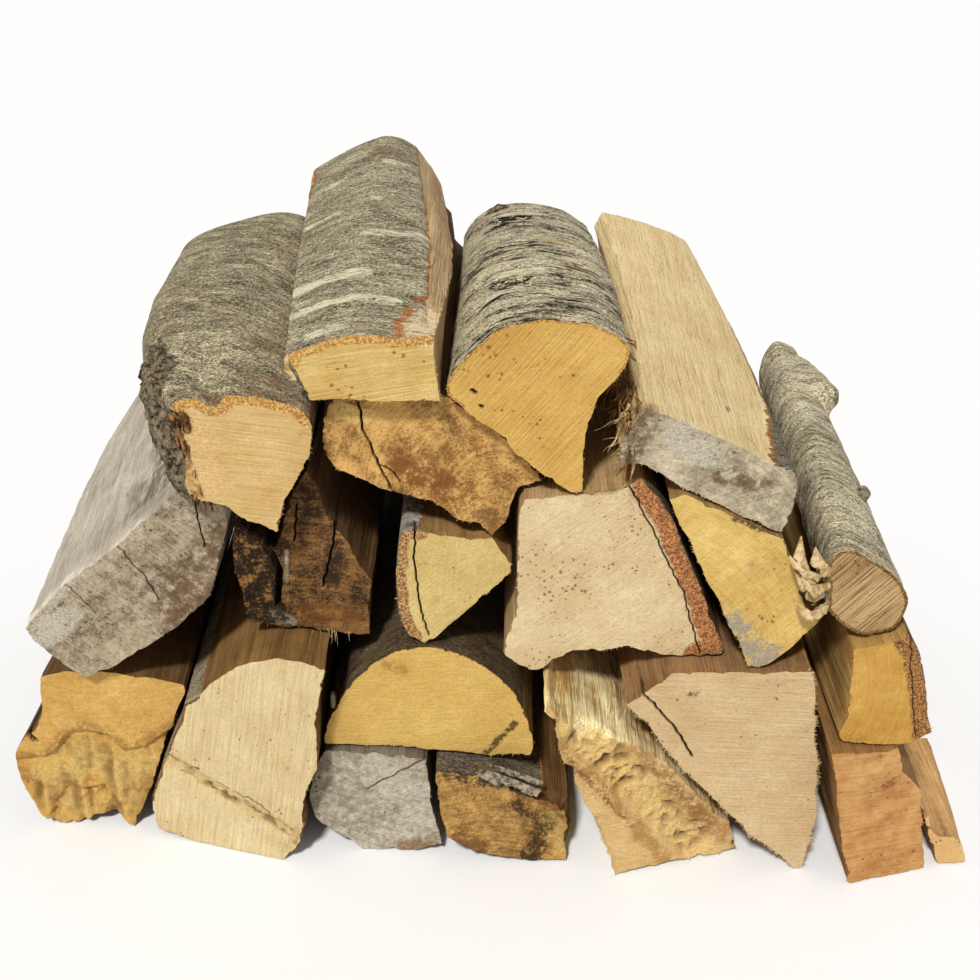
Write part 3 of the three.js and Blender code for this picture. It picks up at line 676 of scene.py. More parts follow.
def fill_end(ring, gap, extra=()):
    flat = ring[:, [0, 2]]
    low, high = flat.min(0), flat.max(0)
    row_gap = gap * math.sqrt(3) / 2
    rows = np.arange(low[1], high[1], row_gap)
    grid = [(x + (n % 2) * gap / 2, z)
            for n, z in enumerate(rows) for x in np.arange(low[0], high[0], gap)]
    grid = np.array(grid + [tuple(spot) for spot in extra])
    places = np.c_[grid, grid[:, 0]]
    grid += SCATTER * np.stack([soft_chance(places, (1, 1, 1), seed) for seed in (3, 4)], axis=1)
    start, end = flat, np.roll(flat, -1, 0)
    crossings = np.zeros(len(grid), int)
    nearest = np.full(len(grid), 1e9)
    for (ax, az), (bx, bz) in zip(start, end):
        if az != bz:
            hit = ((az > grid[:, 1]) != (bz > grid[:, 1]))
            hit &= grid[:, 0] < (bx - ax) * (grid[:, 1] - az) / (bz - az) + ax
            crossings += hit
        nearest = np.minimum(nearest, np.hypot(grid[:, 0] - ax, grid[:, 1] - az))
    inside = grid[(crossings % 2 == 1) & (nearest > RIM_SPARED * gap)]
    count = len(flat)
    spots = [Vector(spot) for spot in np.vstack([flat, inside])]
    edges = [(i, (i + 1) % count) for i in range(count)]
    out = delaunay_2d_cdt(spots, edges, [list(range(count))], 1, WELD_GAP)
    return np.array([tuple(spot) for spot in out[0]]), out[2]


print("tools for the skin are ready")

# %% [markdown]
# ## Cracks
#
# Drying wood splits from its ends inward. Each crack is a bent line drawn on the sawn end, with a
# width and a depth. The end gets extra points along the line, so that the crack's lips are crisp.

# %% Cracks in an end
JAG_STEP = 2.5
JAG_SHIFT = 0.35
LIP_GAP = 0.7
LIP_PLACES = (-0.9, -0.35, 0.35, 0.9)
CRACK_WALL = (0.3, 0.9)


def jagged(line, seed):
    jag = np.random.default_rng(seed)
    spots = [np.array(line[0], float)]
    for start, end in zip(line[:-1], line[1:]):
        start, end = np.array(start, float), np.array(end, float)
        steps = max(1, round(np.linalg.norm(end - start) / JAG_STEP))
        for step in range(1, steps + 1):
            spots.append(start + (end - start) * step / steps + jag.normal(0, JAG_SHIFT, 2))
    return spots


def crack_points(cracks):
    extra = []
    for line, width, _ in cracks:
        for a, b in zip(line[:-1], line[1:]):
            length = math.dist(a, b)
            side = np.array((a[1] - b[1], b[0] - a[0])) / length
            for share in np.arange(0, 1, LIP_GAP / length):
                spot = a + (b - a) * share
                extra += [tuple(spot + side * width * off) for off in LIP_PLACES]
    return extra


def crack_depth(spots, cracks):
    depth = np.zeros(len(spots))
    for line, width, deep in cracks:
        inner, outer = (share * width for share in CRACK_WALL)
        profile = 1 - smooth_step(near_line(spots, line), inner, outer)
        depth = np.maximum(depth, deep * profile)
    return depth


# %% Torn ledges in an end
LEDGE_WANDER = 1.2
LEDGE_STEP = 1.6
FLUTE = (6.5, 26, 9)
LEDGE_GRAIN = (2.2, 2.6, 9)
LEDGE_GRAIN_DEPTH = 1.7


# Besides the depth, this gives how much painted shade the torn flutes below a ledge get.
def ledge_depth(spots, ledges, seed):
    depth = np.zeros(len(spots))
    pit_shade = np.zeros(len(spots))
    places = np.c_[spots, 0 * spots[:, 0]]
    for line, deep, flutes in ledges:
        line = np.array(line, float)
        below = np.interp(spots[:, 0], line[:, 0], line[:, 1]) - spots[:, 1]
        below += LEDGE_WANDER * rough_chance(places, (5, 5, 5), seed + 61)
        step = smooth_step(below, 0, LEDGE_STEP)
        step *= smooth_step(spots[:, 0], line[0, 0] - 1, line[0, 0] + 3)
        step *= 1 - smooth_step(spots[:, 0], line[-1, 0] - 3, line[-1, 0] + 1)
        grooves = np.abs(rough_chance(places, FLUTE, seed + 67))
        grain = chance_share(places, LEDGE_GRAIN, seed + 71)
        depth += step * (deep + flutes * grooves + LEDGE_GRAIN_DEPTH * grain)
        pit_shade = np.maximum(pit_shade, step * (0.8 * grooves + 0.55 * grain))
    return depth, pit_shade


for notes in LOGS.values():
    notes["cracks"] = [(jagged(line, number), width, deep)
                       for number, (line, width, deep) in enumerate(notes["cracks"])]
print("cracks are drawn")

# %% [markdown]
# ## Putting a skin together
#
# Rings, ends, relief and cracks become one closed mesh. It also carries the maker's notes as
# numbers on its points, which the finishes read later: how far a point lies inside the bark,
# where it lies from the heart of the tree, how much painted shade cracks and torn pits lay on it,
# and how stained it is.

# %% Stains and hollows
# Each kind of stain: its colour, how much it covers and how soft its edge is.
STAIN_COLOURS = {
    "rust": ("#7d4c20", 0.75, 0.3),
    "gold": ("#ecc97c", 0.8, 0.35),
    "grey": ("#9f9584", 0.9, 0.15),
    "rot": ("#352414", 0.85, 0.3),
    "orange": ("#b06a2c", 0.9, 0.1),
    "pale": ("#e2caa2", 0.95, 0.15),
    "khaki": ("#cdb176", 0.8, 0.2),
    "mould": ("#e4dac2", 0.85, 0.3),
    "brown": ("#6f4e2c", 0.7, 0.4),
    # The next kind is the painted shadow of the burl on the grey weathered log's top side.
    "umber": ("#5f5244", 0.8, 0.45),
    "red": ("#80563c", 0.6, 0.35),
    "tan": ("#a8743a", 0.65, 0.4),
    "pink": ("#dfb985", 0.6, 0.4),
    # The next kind is painted shade, laid over the left lobe of the brown cracked log.
    "shade": ("#1e140a", 0.95, 0.4),
    "lichen": ("#dfd7b4", 0.9, 0.2),
    "black": ("#15110d", 0.95, 0.08),
}


STAIN_WANDER = 0.5
STAIN_FADE = (0.2, 1.5)
HOLLOW_FADE = (0.5, 1.1)
FOLD = (7, 18, 7)
HOLLOW_GRAIN = (2.4, 6, 2.4)


def stain(points, stains, kind):
    amount = np.zeros(len(points))
    wander = rough_chance(points, (9, 9, 9), 19, 4)
    for stain_kind, line, reach in stains:
        if stain_kind == kind:
            away = near_line(points, line) / reach + STAIN_WANDER * wander
            amount = np.maximum(amount, 1 - smooth_step(away, *STAIN_FADE))
    return amount


# Besides the depth, this gives how much painted shade the folds of a torn hollow get.
def hollow_depth(points, hollows, seed):
    depth = np.zeros(len(points))
    pit_shade = np.zeros(len(points))
    folds = np.abs(rough_chance(points, FOLD, seed + 23, 4))
    grain = chance_share(points, HOLLOW_GRAIN, seed + 29)
    for line, reach, deep, rough in hollows:
        part = 1 - smooth_step(near_line(points, line) / reach, *HOLLOW_FADE)
        depth = np.maximum(depth, part * (deep * 0.6 + rough * (0.9 * folds + 0.35 * grain)))
        pit_shade = np.maximum(pit_shade, part * (1.1 * folds + 0.5 * grain))
    return depth, pit_shade


# %% One skin
END_FADE = 30.0
WORN_DEPTH = 0.35
WORN = (9, 9, 9)
END_GNARL = (4, 4, 4)
# Cracks are painted dark inside as shade, darkest from this depth on.
CRACK_SHADE_DEPTH = 2.0
SHARP_ANGLE = 55.0


def joined_rings(base, rings, count):
    for ring in range(rings - 1):
        for i in range(count):
            low = base + ring * count
            after = (i + 1) % count
            yield low + i, low + after, low + count + after, low + count + i


def end_cap(ring, first, total, gap, extra, facing, flip):
    # The cap's points beside the ring's own, set in the sawn plane, and its faces.
    spots, triangles = fill_end(ring, gap, extra)
    count = len(ring)
    inner = spots[count:]
    place = ring.mean(0)
    rise = (inner[:, 0] - place[0]) * facing[0] + (inner[:, 1] - place[2]) * facing[2]
    points = np.stack([inner[:, 0], place[1] - rise / facing[1], inner[:, 1]], axis=1)
    number = np.r_[np.arange(count) + first, np.arange(len(inner)) + total]
    faces = []
    for triangle in triangles:
        corners = [int(number[i]) for i in triangle]
        a, b, c = (spots[i] for i in triangle[:3])
        turn = (b[0] - a[0]) * (c[1] - a[1]) - (b[1] - a[1]) * (c[0] - a[0])
        if (turn > 0) == flip:
            corners.reverse()
        faces.append(corners)
    return points, faces


def write_numbers(mesh, label, values):
    vector = values.ndim == 2
    layer = mesh.attributes.new(label, "FLOAT_VECTOR" if vector else "FLOAT", "POINT")
    layer.data.foreach_set("vector" if vector else "value", values.astype(np.float32).ravel())


rims = {}


def log_skin(name, seed):
    notes = LOGS[name]
    rings, front_facing, back_facing = log_rings(name, notes["slices"])
    slices, count = rings.shape[:2]
    middle = rings.mean(1)
    from_middle = rings - middle[:, None]
    angle = np.degrees(np.arctan2(from_middle[..., 2], from_middle[..., 0]))
    size = np.linalg.norm(from_middle, axis=2).mean()
    reach = bark_reach(angle, size, notes["bark"])
    rings = rounded(rings, reach, notes["rounding"])
    sunk = side_relief(rings, reach, notes, seed).reshape(-1)
    sunk = sunk + hollow_depth(rings.reshape(-1, 3), notes["hollows"], seed)[0]
    rings = rings - outward(rings) * sunk.reshape(slices, count, 1)
    rings[..., 2] = np.maximum(rings[..., 2], 0)

    # The sides, then a cap on each end.
    points = rings.reshape(-1, 3)
    faces = list(joined_rings(0, slices, count))
    side_faces = len(faces)
    for ring, first, gap, extra, facing, flip in (
        (rings[0], 0, FRONT_GAP, crack_points(notes["cracks"]), front_facing, False),
        (rings[-1], (slices - 1) * count, BACK_GAP, (), back_facing, True),
    ):
        cap_points, cap_faces = end_cap(ring, first, len(points), gap, extra, facing, flip)
        points = np.vstack([points, cap_points])
        faces += cap_faces

    # Cracks and torn places sink into the front end, and the first slices step back with them.
    lead = (points - rings[0].mean(0)) @ front_facing
    fade = np.clip(1 - lead / END_FADE, 0, 1)
    cracked = crack_depth(points[:, [0, 2]], notes["cracks"]) * fade
    worn = WORN_DEPTH * (1 + rough_chance(points, WORN, seed + 31)) * fade
    worn += notes["end_gnarl"] * chance_share(points, END_GNARL, seed + 37) * fade
    torn, torn_pit_shade = hollow_depth(points, notes["hollows"], seed)
    stepped, stepped_pit_shade = ledge_depth(points[:, [0, 2]], notes["ledges"], seed)
    points = points + front_facing * (cracked + worn + (torn + stepped) * fade ** 3)[:, None]
    rims[name] = (points[:count], outward(rings)[0])

    mesh = bpy.data.meshes.new(name + "_skin")
    mesh.from_pydata([tuple(point) for point in points * MM], [], faces)
    mesh.validate()
    mesh.polygons.foreach_set("use_smooth", np.ones(len(mesh.polygons), bool))
    mesh.set_sharp_from_angle(angle=math.radians(SHARP_ANGLE))
    ends = np.zeros(len(faces), np.int32)
    ends[side_faces:] = 1
    mesh.polygons.foreach_set("material_index", ends)

    # How far each point lies from the barked part of a rim.
    rim_reach = bark_reach(angle, size, notes.get("rim", notes["bark"]))
    rim_gap = np.full(len(points), BARK_EDGE_CAP)
    for end in (0, -1):
        for spot in rings[end][rim_reach[end] > 0]:
            rim_gap = np.minimum(rim_gap, np.linalg.norm(points - spot, axis=1))

    turn = math.radians(notes["saw"])
    run = points @ np.array([math.cos(turn), 0, math.sin(turn)])
    cross = points @ np.array([-math.sin(turn), 0, math.cos(turn)])
    on_caps = np.full(len(points) - slices * count, -BARK_EDGE_CAP)
    notes_on_points = {
        "bark_reach": np.r_[reach.reshape(-1), on_caps],
        "rim_share": rim_gap / notes["bark_mm"],
        "crack": np.clip(cracked / CRACK_SHADE_DEPTH, 0, 1),
        "pit_shade": np.maximum(torn_pit_shade, stepped_pit_shade * fade ** 3),
        "from_heart": points - np.array([notes["heart"][0], 0, notes["heart"][1]]),
        "saw": np.stack([run, cross, 0 * run], axis=1),
    }
    for kind in sorted({kind for kind, _, _ in notes["stains"]}):
        notes_on_points[kind] = stain(points, notes["stains"], kind)
    for label, values in notes_on_points.items():
        write_numbers(mesh, label, values)
    return mesh


print("the skin maker is ready")

# %% [markdown]
# ## Adding nodes
#
# A finish is a small graph of nodes. The first helper adds one node, sets it up, wires its inputs
# and hands back one of its outputs. An input is given either a plain value or the output of an
# earlier node. The second one closes a finish: every surface here is rough and hardly shines.

# %% One node, and the end of a finish
def add(tree, kind, inputs=None, out=0, **settings):
    made = tree.nodes.new("ShaderNode" + kind)
    for setting, value in settings.items():
        setattr(made, setting, value)
    for socket, source in (inputs or {}).items():
        if isinstance(source, bpy.types.NodeSocket):
            tree.links.new(source, made.inputs[socket])
        else:
            made.inputs[socket].default_value = source
    return made.outputs[out]


def close_finish(tree, shader, colour, height, distance, strength, roughness, shine):
    relief = add(tree, "Bump", {"Height": height, "Distance": distance, "Strength": strength})
    tree.links.new(colour, shader.inputs["Base Color"])
    tree.links.new(relief, shader.inputs["Normal"])
    shader.inputs["Roughness"].default_value = roughness
    shader.inputs["Specular IOR Level"].default_value = shine


# %% [markdown]
# ## Patterns and layers
#
# Wood and bark are drawn from a few cloudy patterns. Each is given by the size of its lumps in
# millimetres along x, y and z: a fibre is thin and long, a bark wrinkle is wide and short. A
# colour is then built up in thin layers, and every layer shows only where its pattern is strong.

# %% Patterns, sums of patterns and layers of colour
def patterns(tree, place, table):
    made = {}
    for label, (sizes, detail, roughness) in table.items():
        stretch = tuple(1000 / size for size in sizes)
        drawn = add(tree, "VectorMath", {0: place, 1: stretch}, operation="MULTIPLY")
        noise = {"Vector": drawn, "Scale": 1.0, "Detail": detail, "Roughness": roughness}
        made[label] = add(tree, "TexNoise", noise)
    return made


def summed(tree, *parts):
    total = 0.0
    for pattern, weight in parts:
        total = add(tree, "Math", {0: pattern, 1: weight, 2: total}, operation="MULTIPLY_ADD")
    return total


def layered(tree, colour, layers):
    for pattern, low, high, most, tone in layers:
        limits = {"Value": pattern, "From Min": low, "From Max": high, "To Max": most}
        share = add(tree, "MapRange", limits)
        below = linear(colour) if isinstance(colour, str) else colour
        above = linear(tone) if isinstance(tone, str) else tone
        colour = add(tree, "Mix", {0: share, 6: below, 7: above}, 2, data_type="RGBA")
    return colour


# %% [markdown]
# ## Stains
#
# Weather, rot and torn bark leave coloured patches, and some patches are painted shade. The maker's
# notes give their place and size, and noise frays their edges here, so no patch ends in a clean
# curve. On bark the fraying is drawn out across the log, and on split wood along it.

# %% Stains on any finish
FINE_FRAY_MM = 1.8
WIDE_FRAY_MM = 8
FRAY_LEVEL = -3.55
GRIT_RANGE = (0.36, 0.64)


def stained(tree, colour, place, kinds, stretch=(1, 1, 1)):
    fine = tuple(FINE_FRAY_MM * part for part in stretch)
    wide = tuple(WIDE_FRAY_MM * part for part in stretch)
    made = patterns(tree, place, {"fine": (fine, 4.0, 0.75), "wide": (wide, 5.0, 0.7)})
    fray = summed(tree, (made["wide"], 4.2), (made["fine"], 4.6), (FRAY_LEVEL, 1.0))
    for kind in sorted(kinds):
        tone, strength, softness = STAIN_COLOURS[kind]
        amount = add(tree, "Attribute", None, "Fac", attribute_name=kind)
        grown = add(tree, "Math", {0: amount, 1: fray}, operation="MULTIPLY")
        colour = layered(tree, colour, [(grown, 0.5 - softness, 0.5 + softness, strength, tone)])
    return colour


# Scales the colour with the grit: the wood's own speckle together with painted light and shade on its tiny
# bumps.
def grit_tone_and_shade(tree, colour, grit, low, high):
    least, most = GRIT_RANGE
    limits = {"Value": grit, "From Min": least, "From Max": most, "To Min": low, "To Max": high}
    level = add(tree, "MapRange", limits)
    return add(tree, "VectorMath", {0: colour, 3: level}, operation="SCALE")


# %% [markdown]
# ## Beech, sawn across the grain
#
# A saw leaves the end of a log matt, with fine scores that run one way. Beech has narrow year
# rings and many fine rays, so the end looks nearly even from a step away: a warm cream with
# faint arcs, a few dark specks and a greyer, dustier tone where it has lain outside. The scores
# are under a millimetre apart on the real log, and a little wider here so that they show.

# %% Finish of a sawn end
RING_GAP_MM = 1.7
SCORE_GAP_MM = 0.9
SCORE_RUN_MM = 30.0
SPECK_GAP_MM = 2.6
END_BUMP = 0.0007
END_PATTERNS = {
    "blotch": ((33, 33, 33), 6.0, 0.62),
    "mottle": ((8, 8, 8), 6.0, 0.7),
    "pebble": ((3, 3, 3), 5.0, 0.7),
    "grit": ((1.0, 1.0, 1.0), 4.0, 0.8),
}


def sawn_beech(
    name, kinds, light, deep, speck, rim_light, rim_dark,
    rings=0.3, score=0.4, specks=0.4, mottle=0.0, contrast=1.0, rough=1.0,
):
    finish, tree, shader = new_finish(name + "_sawn_end")
    place = add(tree, "TexCoord", None, "Object")
    made = patterns(tree, place, END_PATTERNS)
    grit = made["grit"]

    # Year rings are bands of chance along the distance from the heart of the tree.
    heart = add(tree, "Attribute", None, "Vector", attribute_name="from_heart")
    flat = add(tree, "VectorMath", {0: heart, 1: (1, 0, 1)}, operation="MULTIPLY")
    radius = add(tree, "VectorMath", {0: flat}, "Value", operation="LENGTH")
    ring_at = summed(tree, (radius, 1 / RING_GAP_MM), (made["blotch"], 5.0 / RING_GAP_MM))
    ring_noise = {"W": ring_at, "Scale": 1.0, "Detail": 2.0}
    ring = add(tree, "TexNoise", ring_noise, noise_dimensions="1D")

    # Saw scores are chance drawn out along the saw's path.
    saw = add(tree, "Attribute", None, "Vector", attribute_name="saw")
    drawn_out = (1 / SCORE_RUN_MM, 1 / SCORE_GAP_MM, 1)
    scored = add(tree, "VectorMath", {0: saw, 1: drawn_out}, operation="MULTIPLY")
    score_noise = {"Vector": scored, "Scale": 1.0, "Detail": 2.0}
    scores = add(tree, "TexNoise", score_noise, noise_dimensions="2D")

    parts = [(ring, rings), (scores, score), (grit, 1.4), (made["blotch"], 0.9),
             (made["mottle"], mottle), (made["pebble"], 0.5 * (rough - 1))]
    middle = 0.5 * sum(weight for _, weight in parts)
    half = 0.38 / contrast
    colour = layered(tree, light, [(summed(tree, *parts), middle - half, middle + half, 1.0, deep)])

    # A few cells of a cell pattern hold a dark speck each.
    cells = {"Vector": place, "Scale": 1000 / SPECK_GAP_MM}
    near = add(tree, "TexVoronoi", cells, "Distance")
    chance = near.node.outputs["Color"]
    dots = summed(tree, (near, 1.0), (chance, 0.7), (made["blotch"], -1.2), (grit, 0.5))
    edge = -0.19 + 0.22 * specks
    colour = layered(tree, colour, [(dots, edge + 0.06, edge - 0.03, 0.7, speck)])
    colour = stained(tree, colour, place, kinds)

    # Bark shows on the end as a thin dark skin with a crumbly rusty layer under it.
    gap = add(tree, "Attribute", None, "Fac", attribute_name="rim_share")
    gap = summed(tree, (gap, 1.0), (made["blotch"], 0.6), (grit, 0.25))
    crumbs = layered(tree, rim_dark, [(grit, 0.42, 0.6, 1.0, rim_light)])
    # Torn pits get painted shade, a deeper brown where they sink in.
    pit_shade = add(tree, "Attribute", None, "Fac", attribute_name="pit_shade")
    # Cracks get painted shade, near black.
    crack = add(tree, "Attribute", None, "Fac", attribute_name="crack")
    colour = layered(tree, colour, [
        (gap, 1.5, 1.3, 1.0, crumbs),
        (gap, 0.6, 0.46, 0.85, "#6a5a44"),
        (summed(tree, (pit_shade, 1.0), (grit, 0.5)), 0.65, 1.15, 0.75, "#6b4822"),
        (crack, 0.1, 0.7, 0.93, "#2a1c10"),
    ])
    # A rough end gets stronger grit speckle with painted light and shade, and its bumps are deeper.
    colour = grit_tone_and_shade(tree, colour, grit, 0.77 - 0.05 * rough, 1.2 + 0.06 * rough)
    height = summed(
        tree, (scores, 0.3 + score), (grit, 1.0), (made["pebble"], 1.0), (made["mottle"], mottle),
    )
    close_finish(tree, shader, colour, height, END_BUMP * rough, 1.0, 0.85, 0.2)
    return finish


# %% [markdown]
# ## Beech, split along the grain, and beech bark
#
# An axe leaves long fibres standing, so the split side is streaked lengthwise, with short dark
# flecks where rays were laid bare. Beech bark is thin and grey. Its fine wrinkles and pores are
# drawn out across the trunk, pale lichen sits on it in crosswise patches, and where it has been
# torn the rusty layer beneath shows. One finish holds both and moves from one to the other at
# the bark's edge.

# %% Finish of the long sides
SIDE_BUMP = 0.0025
WOOD_PATTERNS = {
    "blotch": ((33, 33, 33), 6.0, 0.62),
    "grit": ((0.8, 0.8, 0.8), 4.0, 0.7),
    "fibre": ((1.1, 42, 1.1), 3.0, 0.6),
    "band": ((5.3, 143, 5.3), 4.0, 0.6),
    "fleck": ((1.25, 11, 1.25), 1.0, 0.5),
}
BARK_PATTERNS = {
    "crumbs": ((1.4, 0.85, 1.4), 3.0, 0.65),
    "bands": ((18, 7.7, 18), 6.0, 0.7),
    "ripple": ((42, 6.7, 42), 5.0, 0.62),
    "streaks": ((14, 2.6, 14), 5.0, 0.7),
    "dashes": ((5, 1.5, 5), 3.0, 0.6),
}


def split_beech_and_bark(
    name, kinds, light, deep, bark_light, bark_dark, slope=0.0, lichen_share=0.5,
    pore_share=0.5, crack_share=0.0, streak_share=1.0, streaks=0.0, dashes=0.0,
):
    finish, tree, shader = new_finish(name + "_side")
    place = add(tree, "TexCoord", None, "Object")
    made = patterns(tree, place, WOOD_PATTERNS)
    turned = add(tree, "VectorRotate", {"Vector": place, "Angle": slope}, rotation_type="Z_AXIS")
    made.update(patterns(tree, turned, BARK_PATTERNS))
    blotch, grit, bands, crumbs = (made[label] for label in ("blotch", "grit", "bands", "crumbs"))

    # Split wood: long fibres, bands five times as wide and short flecks.
    grain = summed(tree, (made["fibre"], 0.8), (made["band"], 0.8), (grit, 0.3), (blotch, 1.0))
    half = 0.34 / streak_share
    wood = layered(tree, light, [
        (grain, 1.45 - half, 1.45 + half, 1.0, deep),
        (made["fleck"], 0.68, 0.78, 0.5, "#6e4a26"),
    ])

    # Bark: crumbs that crowd into crosswise patches, pores, lichen, pale streaks and dark dashes.
    crowd = summed(tree, (crumbs, 1.0), (bands, 0.55))
    pale = summed(tree, (made["streaks"], 1.0), (crumbs, 0.4))
    dark = summed(tree, (made["dashes"], 1.0), (crumbs, 0.3), (bands, 0.5))
    off = add(tree, "Math", {0: made["ripple"], 1: 0.5}, operation="SUBTRACT")
    off = add(tree, "Math", {0: off}, operation="ABSOLUTE")
    off = summed(tree, (off, 1.0), (blotch, -0.15))
    line = add(tree, "MapRange", {"Value": off, "From Min": -0.055, "From Max": -0.07})
    pore = 0.58 + 0.1 * pore_share
    lichen = 1.02 - 0.12 * lichen_share
    bark = layered(tree, bark_dark, [
        (crowd, 0.66, 0.9, 1.0, bark_light),
        (blotch, 0.42, 0.62, 0.3, "#857450"),
        (pale, 0.76, 0.84, 0.8 * streaks, "#e6dcb8"),
        (crowd, pore, pore - 0.06, 0.85, "#2a261e"),
        (dark, 1.02, 1.1, 0.9 * dashes, "#1f1b15"),
        (crowd, lichen, lichen + 0.06, 0.85, "#e4dab6"),
        (line, 0.0, 1.0, crack_share, "#1f1b15"),
    ])

    reach = add(tree, "Attribute", None, "Fac", attribute_name="bark_reach")
    ragged = summed(tree, (bands, 7.0), (reach, 1.0))
    colour = layered(tree, wood, [(ragged, 2.4, 2.9, 1.0, "#94632f"), (ragged, 3.3, 3.9, 1.0, bark)])
    fray = (1.8, 0.6, 1.8) if streaks else (1, 5, 1)
    colour = stained(tree, colour, place, kinds, fray)
    # Torn pits get painted shade, a deeper brown where they sink in.
    pit_shade = add(tree, "Attribute", None, "Fac", attribute_name="pit_shade")
    # Cracks get painted shade, near black.
    crack = add(tree, "Attribute", None, "Fac", attribute_name="crack")
    colour = layered(tree, colour, [
        (summed(tree, (pit_shade, 1.0), (grit, 0.5)), 0.65, 1.15, 0.75, "#4a3218"),
        (crack, 0.0, 1.0, 1.0, "#2a1c10"),
    ])
    # Grit speckle with painted light and shade.
    colour = grit_tone_and_shade(tree, colour, grit, 0.76, 1.22)

    wood_height = summed(tree, (made["fibre"], 0.6), (made["band"], 1.0))
    bark_height = summed(
        tree, (line, -0.8), (crumbs, 0.5), (bands, 1.0), (made["streaks"], 0.5 * streaks),
    )
    cover = add(tree, "MapRange", {"Value": ragged, "From Min": 3.3, "From Max": 3.9})
    height = add(tree, "Mix", {0: cover, 2: wood_height, 3: bark_height}, data_type="FLOAT")
    close_finish(tree, shader, colour, height, SIDE_BUMP, 0.85, 0.88, 0.18)
    return finish


# %% [markdown]
# ## Tones of this stack
#
# No two pieces have aged alike. Each kind of beech in the stack has a light and a deep tone for
# its sawn end and for its split sides, and single logs may differ from their kind. Two logs have
# side tones darkened partly as painted shade.

# %% Tones
# Sawn ends: light, deep, speck, inner bark light, inner bark dark. Split sides: light, deep.
# Bark: light, dark.
END_TONES = {
    "fresh_yellow_beech": ("#e2bd6c", "#c08c3c", "#7d5226", "#c98a50", "#8e5428"),
    "pale_beech": ("#dfc79b", "#bc9869", "#5f4430", "#cf8558", "#94502f"),
    "orange_beech": ("#e0b565", "#ac7b34", "#6d451e", "#a9763c", "#7c4f26"),
    "spalted_beech": ("#e4c488", "#c09555", "#6a4a28", "#a9763c", "#7c4f26"),
    "weathered_beech": ("#b09b7e", "#665642", "#423c36", "#8b7f70", "#5f564c"),
    "grey_sawn_beech": ("#beae95", "#8b7f6c", "#4a433c", "#8b7f70", "#5f564c"),
    "brown_beech": ("#ad7c40", "#67441f", "#36240f", "#8a6134", "#4f351c"),
    "barked_beech": ("#e6c077", "#c3924a", "#7a4c24", "#cf9f58", "#a5763a"),
}
SIDE_TONES = {
    "fresh_yellow_beech": ("#b08a55", "#6f5230"),
    "pale_beech": ("#c9a878", "#8a6a42"),
    "orange_beech": ("#ad8348", "#69492a"),
    "spalted_beech": ("#e6cf95", "#a07c48"),
    "weathered_beech": ("#b9ab97", "#6b6052"),
    "grey_sawn_beech": ("#e7d1a2", "#c9ac76"),
    "brown_beech": ("#7f5d35", "#432e1a"),
    "barked_beech": ("#d3b78c", "#a5855a"),
}
BARK_TONES = ("#a49c88", "#534e42")

finishes = {}
for name, notes in LOGS.items():
    slot = notes["slot"]
    kinds = {kind for kind, _, _ in notes["stains"]}
    own_tones = notes.get("end_tones", ())
    end_tones = own_tones + END_TONES[slot][len(own_tones):]
    side_tones = notes.get("side_tones", SIDE_TONES[slot])
    bark_tones = notes.get("bark_tones", BARK_TONES)
    finishes[name] = (
        split_beech_and_bark(name, kinds, *side_tones, *bark_tones, **notes.get("side", {})),
        sawn_beech(name, kinds, *end_tones, **notes.get("end", {})),
    )
print("finishes", 2 * len(finishes))

# %% [markdown]
# ## The logs
#
# Each plain log is hidden and gives way to its own skin, named after it with _skin added.

# %% Logs
face_total = 0
for seed, name in enumerate(LOGS):
    mesh = log_skin(name, seed * 10 + 1)
    for finish in finishes[name]:
        mesh.materials.append(finish)
    log = put_in_scene(name + "_skin", mesh)
    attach(log, "root")
    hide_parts(name)
    mesh.calc_loop_triangles()
    face_total += len(mesh.loop_triangles)
print("triangles in the skins", face_total)

# %% [markdown]
# ## Splinters, shavings and lumps
#
# Sawing and splitting pull fibres loose. A loose fibre follows a wavy path and thins out towards
# its tip, and a wide one is a shaving. Lumps stand for burls, stubs and knots. Each loose part
# lies on its own log.

# %% A path and a fibre along it
PATH_STEPS = 6
OFF_THE_FLOOR = 0.05
rng = np.random.default_rng(7)


def wavy_path(start, way, length, sway):
    heading = np.array(way, float)
    heading /= np.linalg.norm(heading)
    spots = [np.array(start, float)]
    for _ in range(PATH_STEPS):
        heading = heading + rng.normal(0, sway, 3)
        heading /= np.linalg.norm(heading)
        spots.append(spots[-1] + heading * length / PATH_STEPS)
    return np.array(spots)


def fibre(path, width, thickness, points, faces, tip=0.2):
    base = len(points)
    last = len(path) - 1
    for n, spot in enumerate(path):
        way = path[min(n + 1, last)] - path[max(n - 1, 0)]
        side = np.cross(way, (0.25, 0.9, 0.35))
        side /= max(np.linalg.norm(side), 1e-6)
        out = np.cross(way, side)
        out /= max(np.linalg.norm(out), 1e-6)
        share = n / last
        half = 0.5 * width * (1 - (1 - tip) * share ** 1.5)
        deep = 0.5 * thickness * (1 - 0.5 * share)
        for a, b in ((1, 0), (0, 1), (-1, 0), (0, -1)):
            points.append(spot + side * half * a + out * deep * b)
    faces.extend(joined_rings(base, last + 1, 4))
    faces.append((base + 3, base + 2, base + 1, base))
    faces.append(tuple(base + last * 4 + i for i in range(4)))


def lump(centre, radii, rough, seed, points, faces, rows=18, turns=28):
    base = len(points)
    centre, radii = np.array(centre, float), np.array(radii, float)
    ball = []
    for row in range(rows + 1):
        tilt = math.pi * row / rows
        for turn in range(turns):
            spin = 2 * math.pi * turn / turns
            ball.append((math.sin(tilt) * math.cos(spin), math.sin(tilt) * math.sin(spin), math.cos(tilt)))
    ball = np.array(ball)
    places = centre + ball * radii
    bumps = rough_chance(places, (7, 7, 7), seed, 4) * rough
    points.extend(places + ball * bumps[:, None])
    faces.extend((a, d, c, b) for a, b, c, d in joined_rings(base, rows + 1, turns))


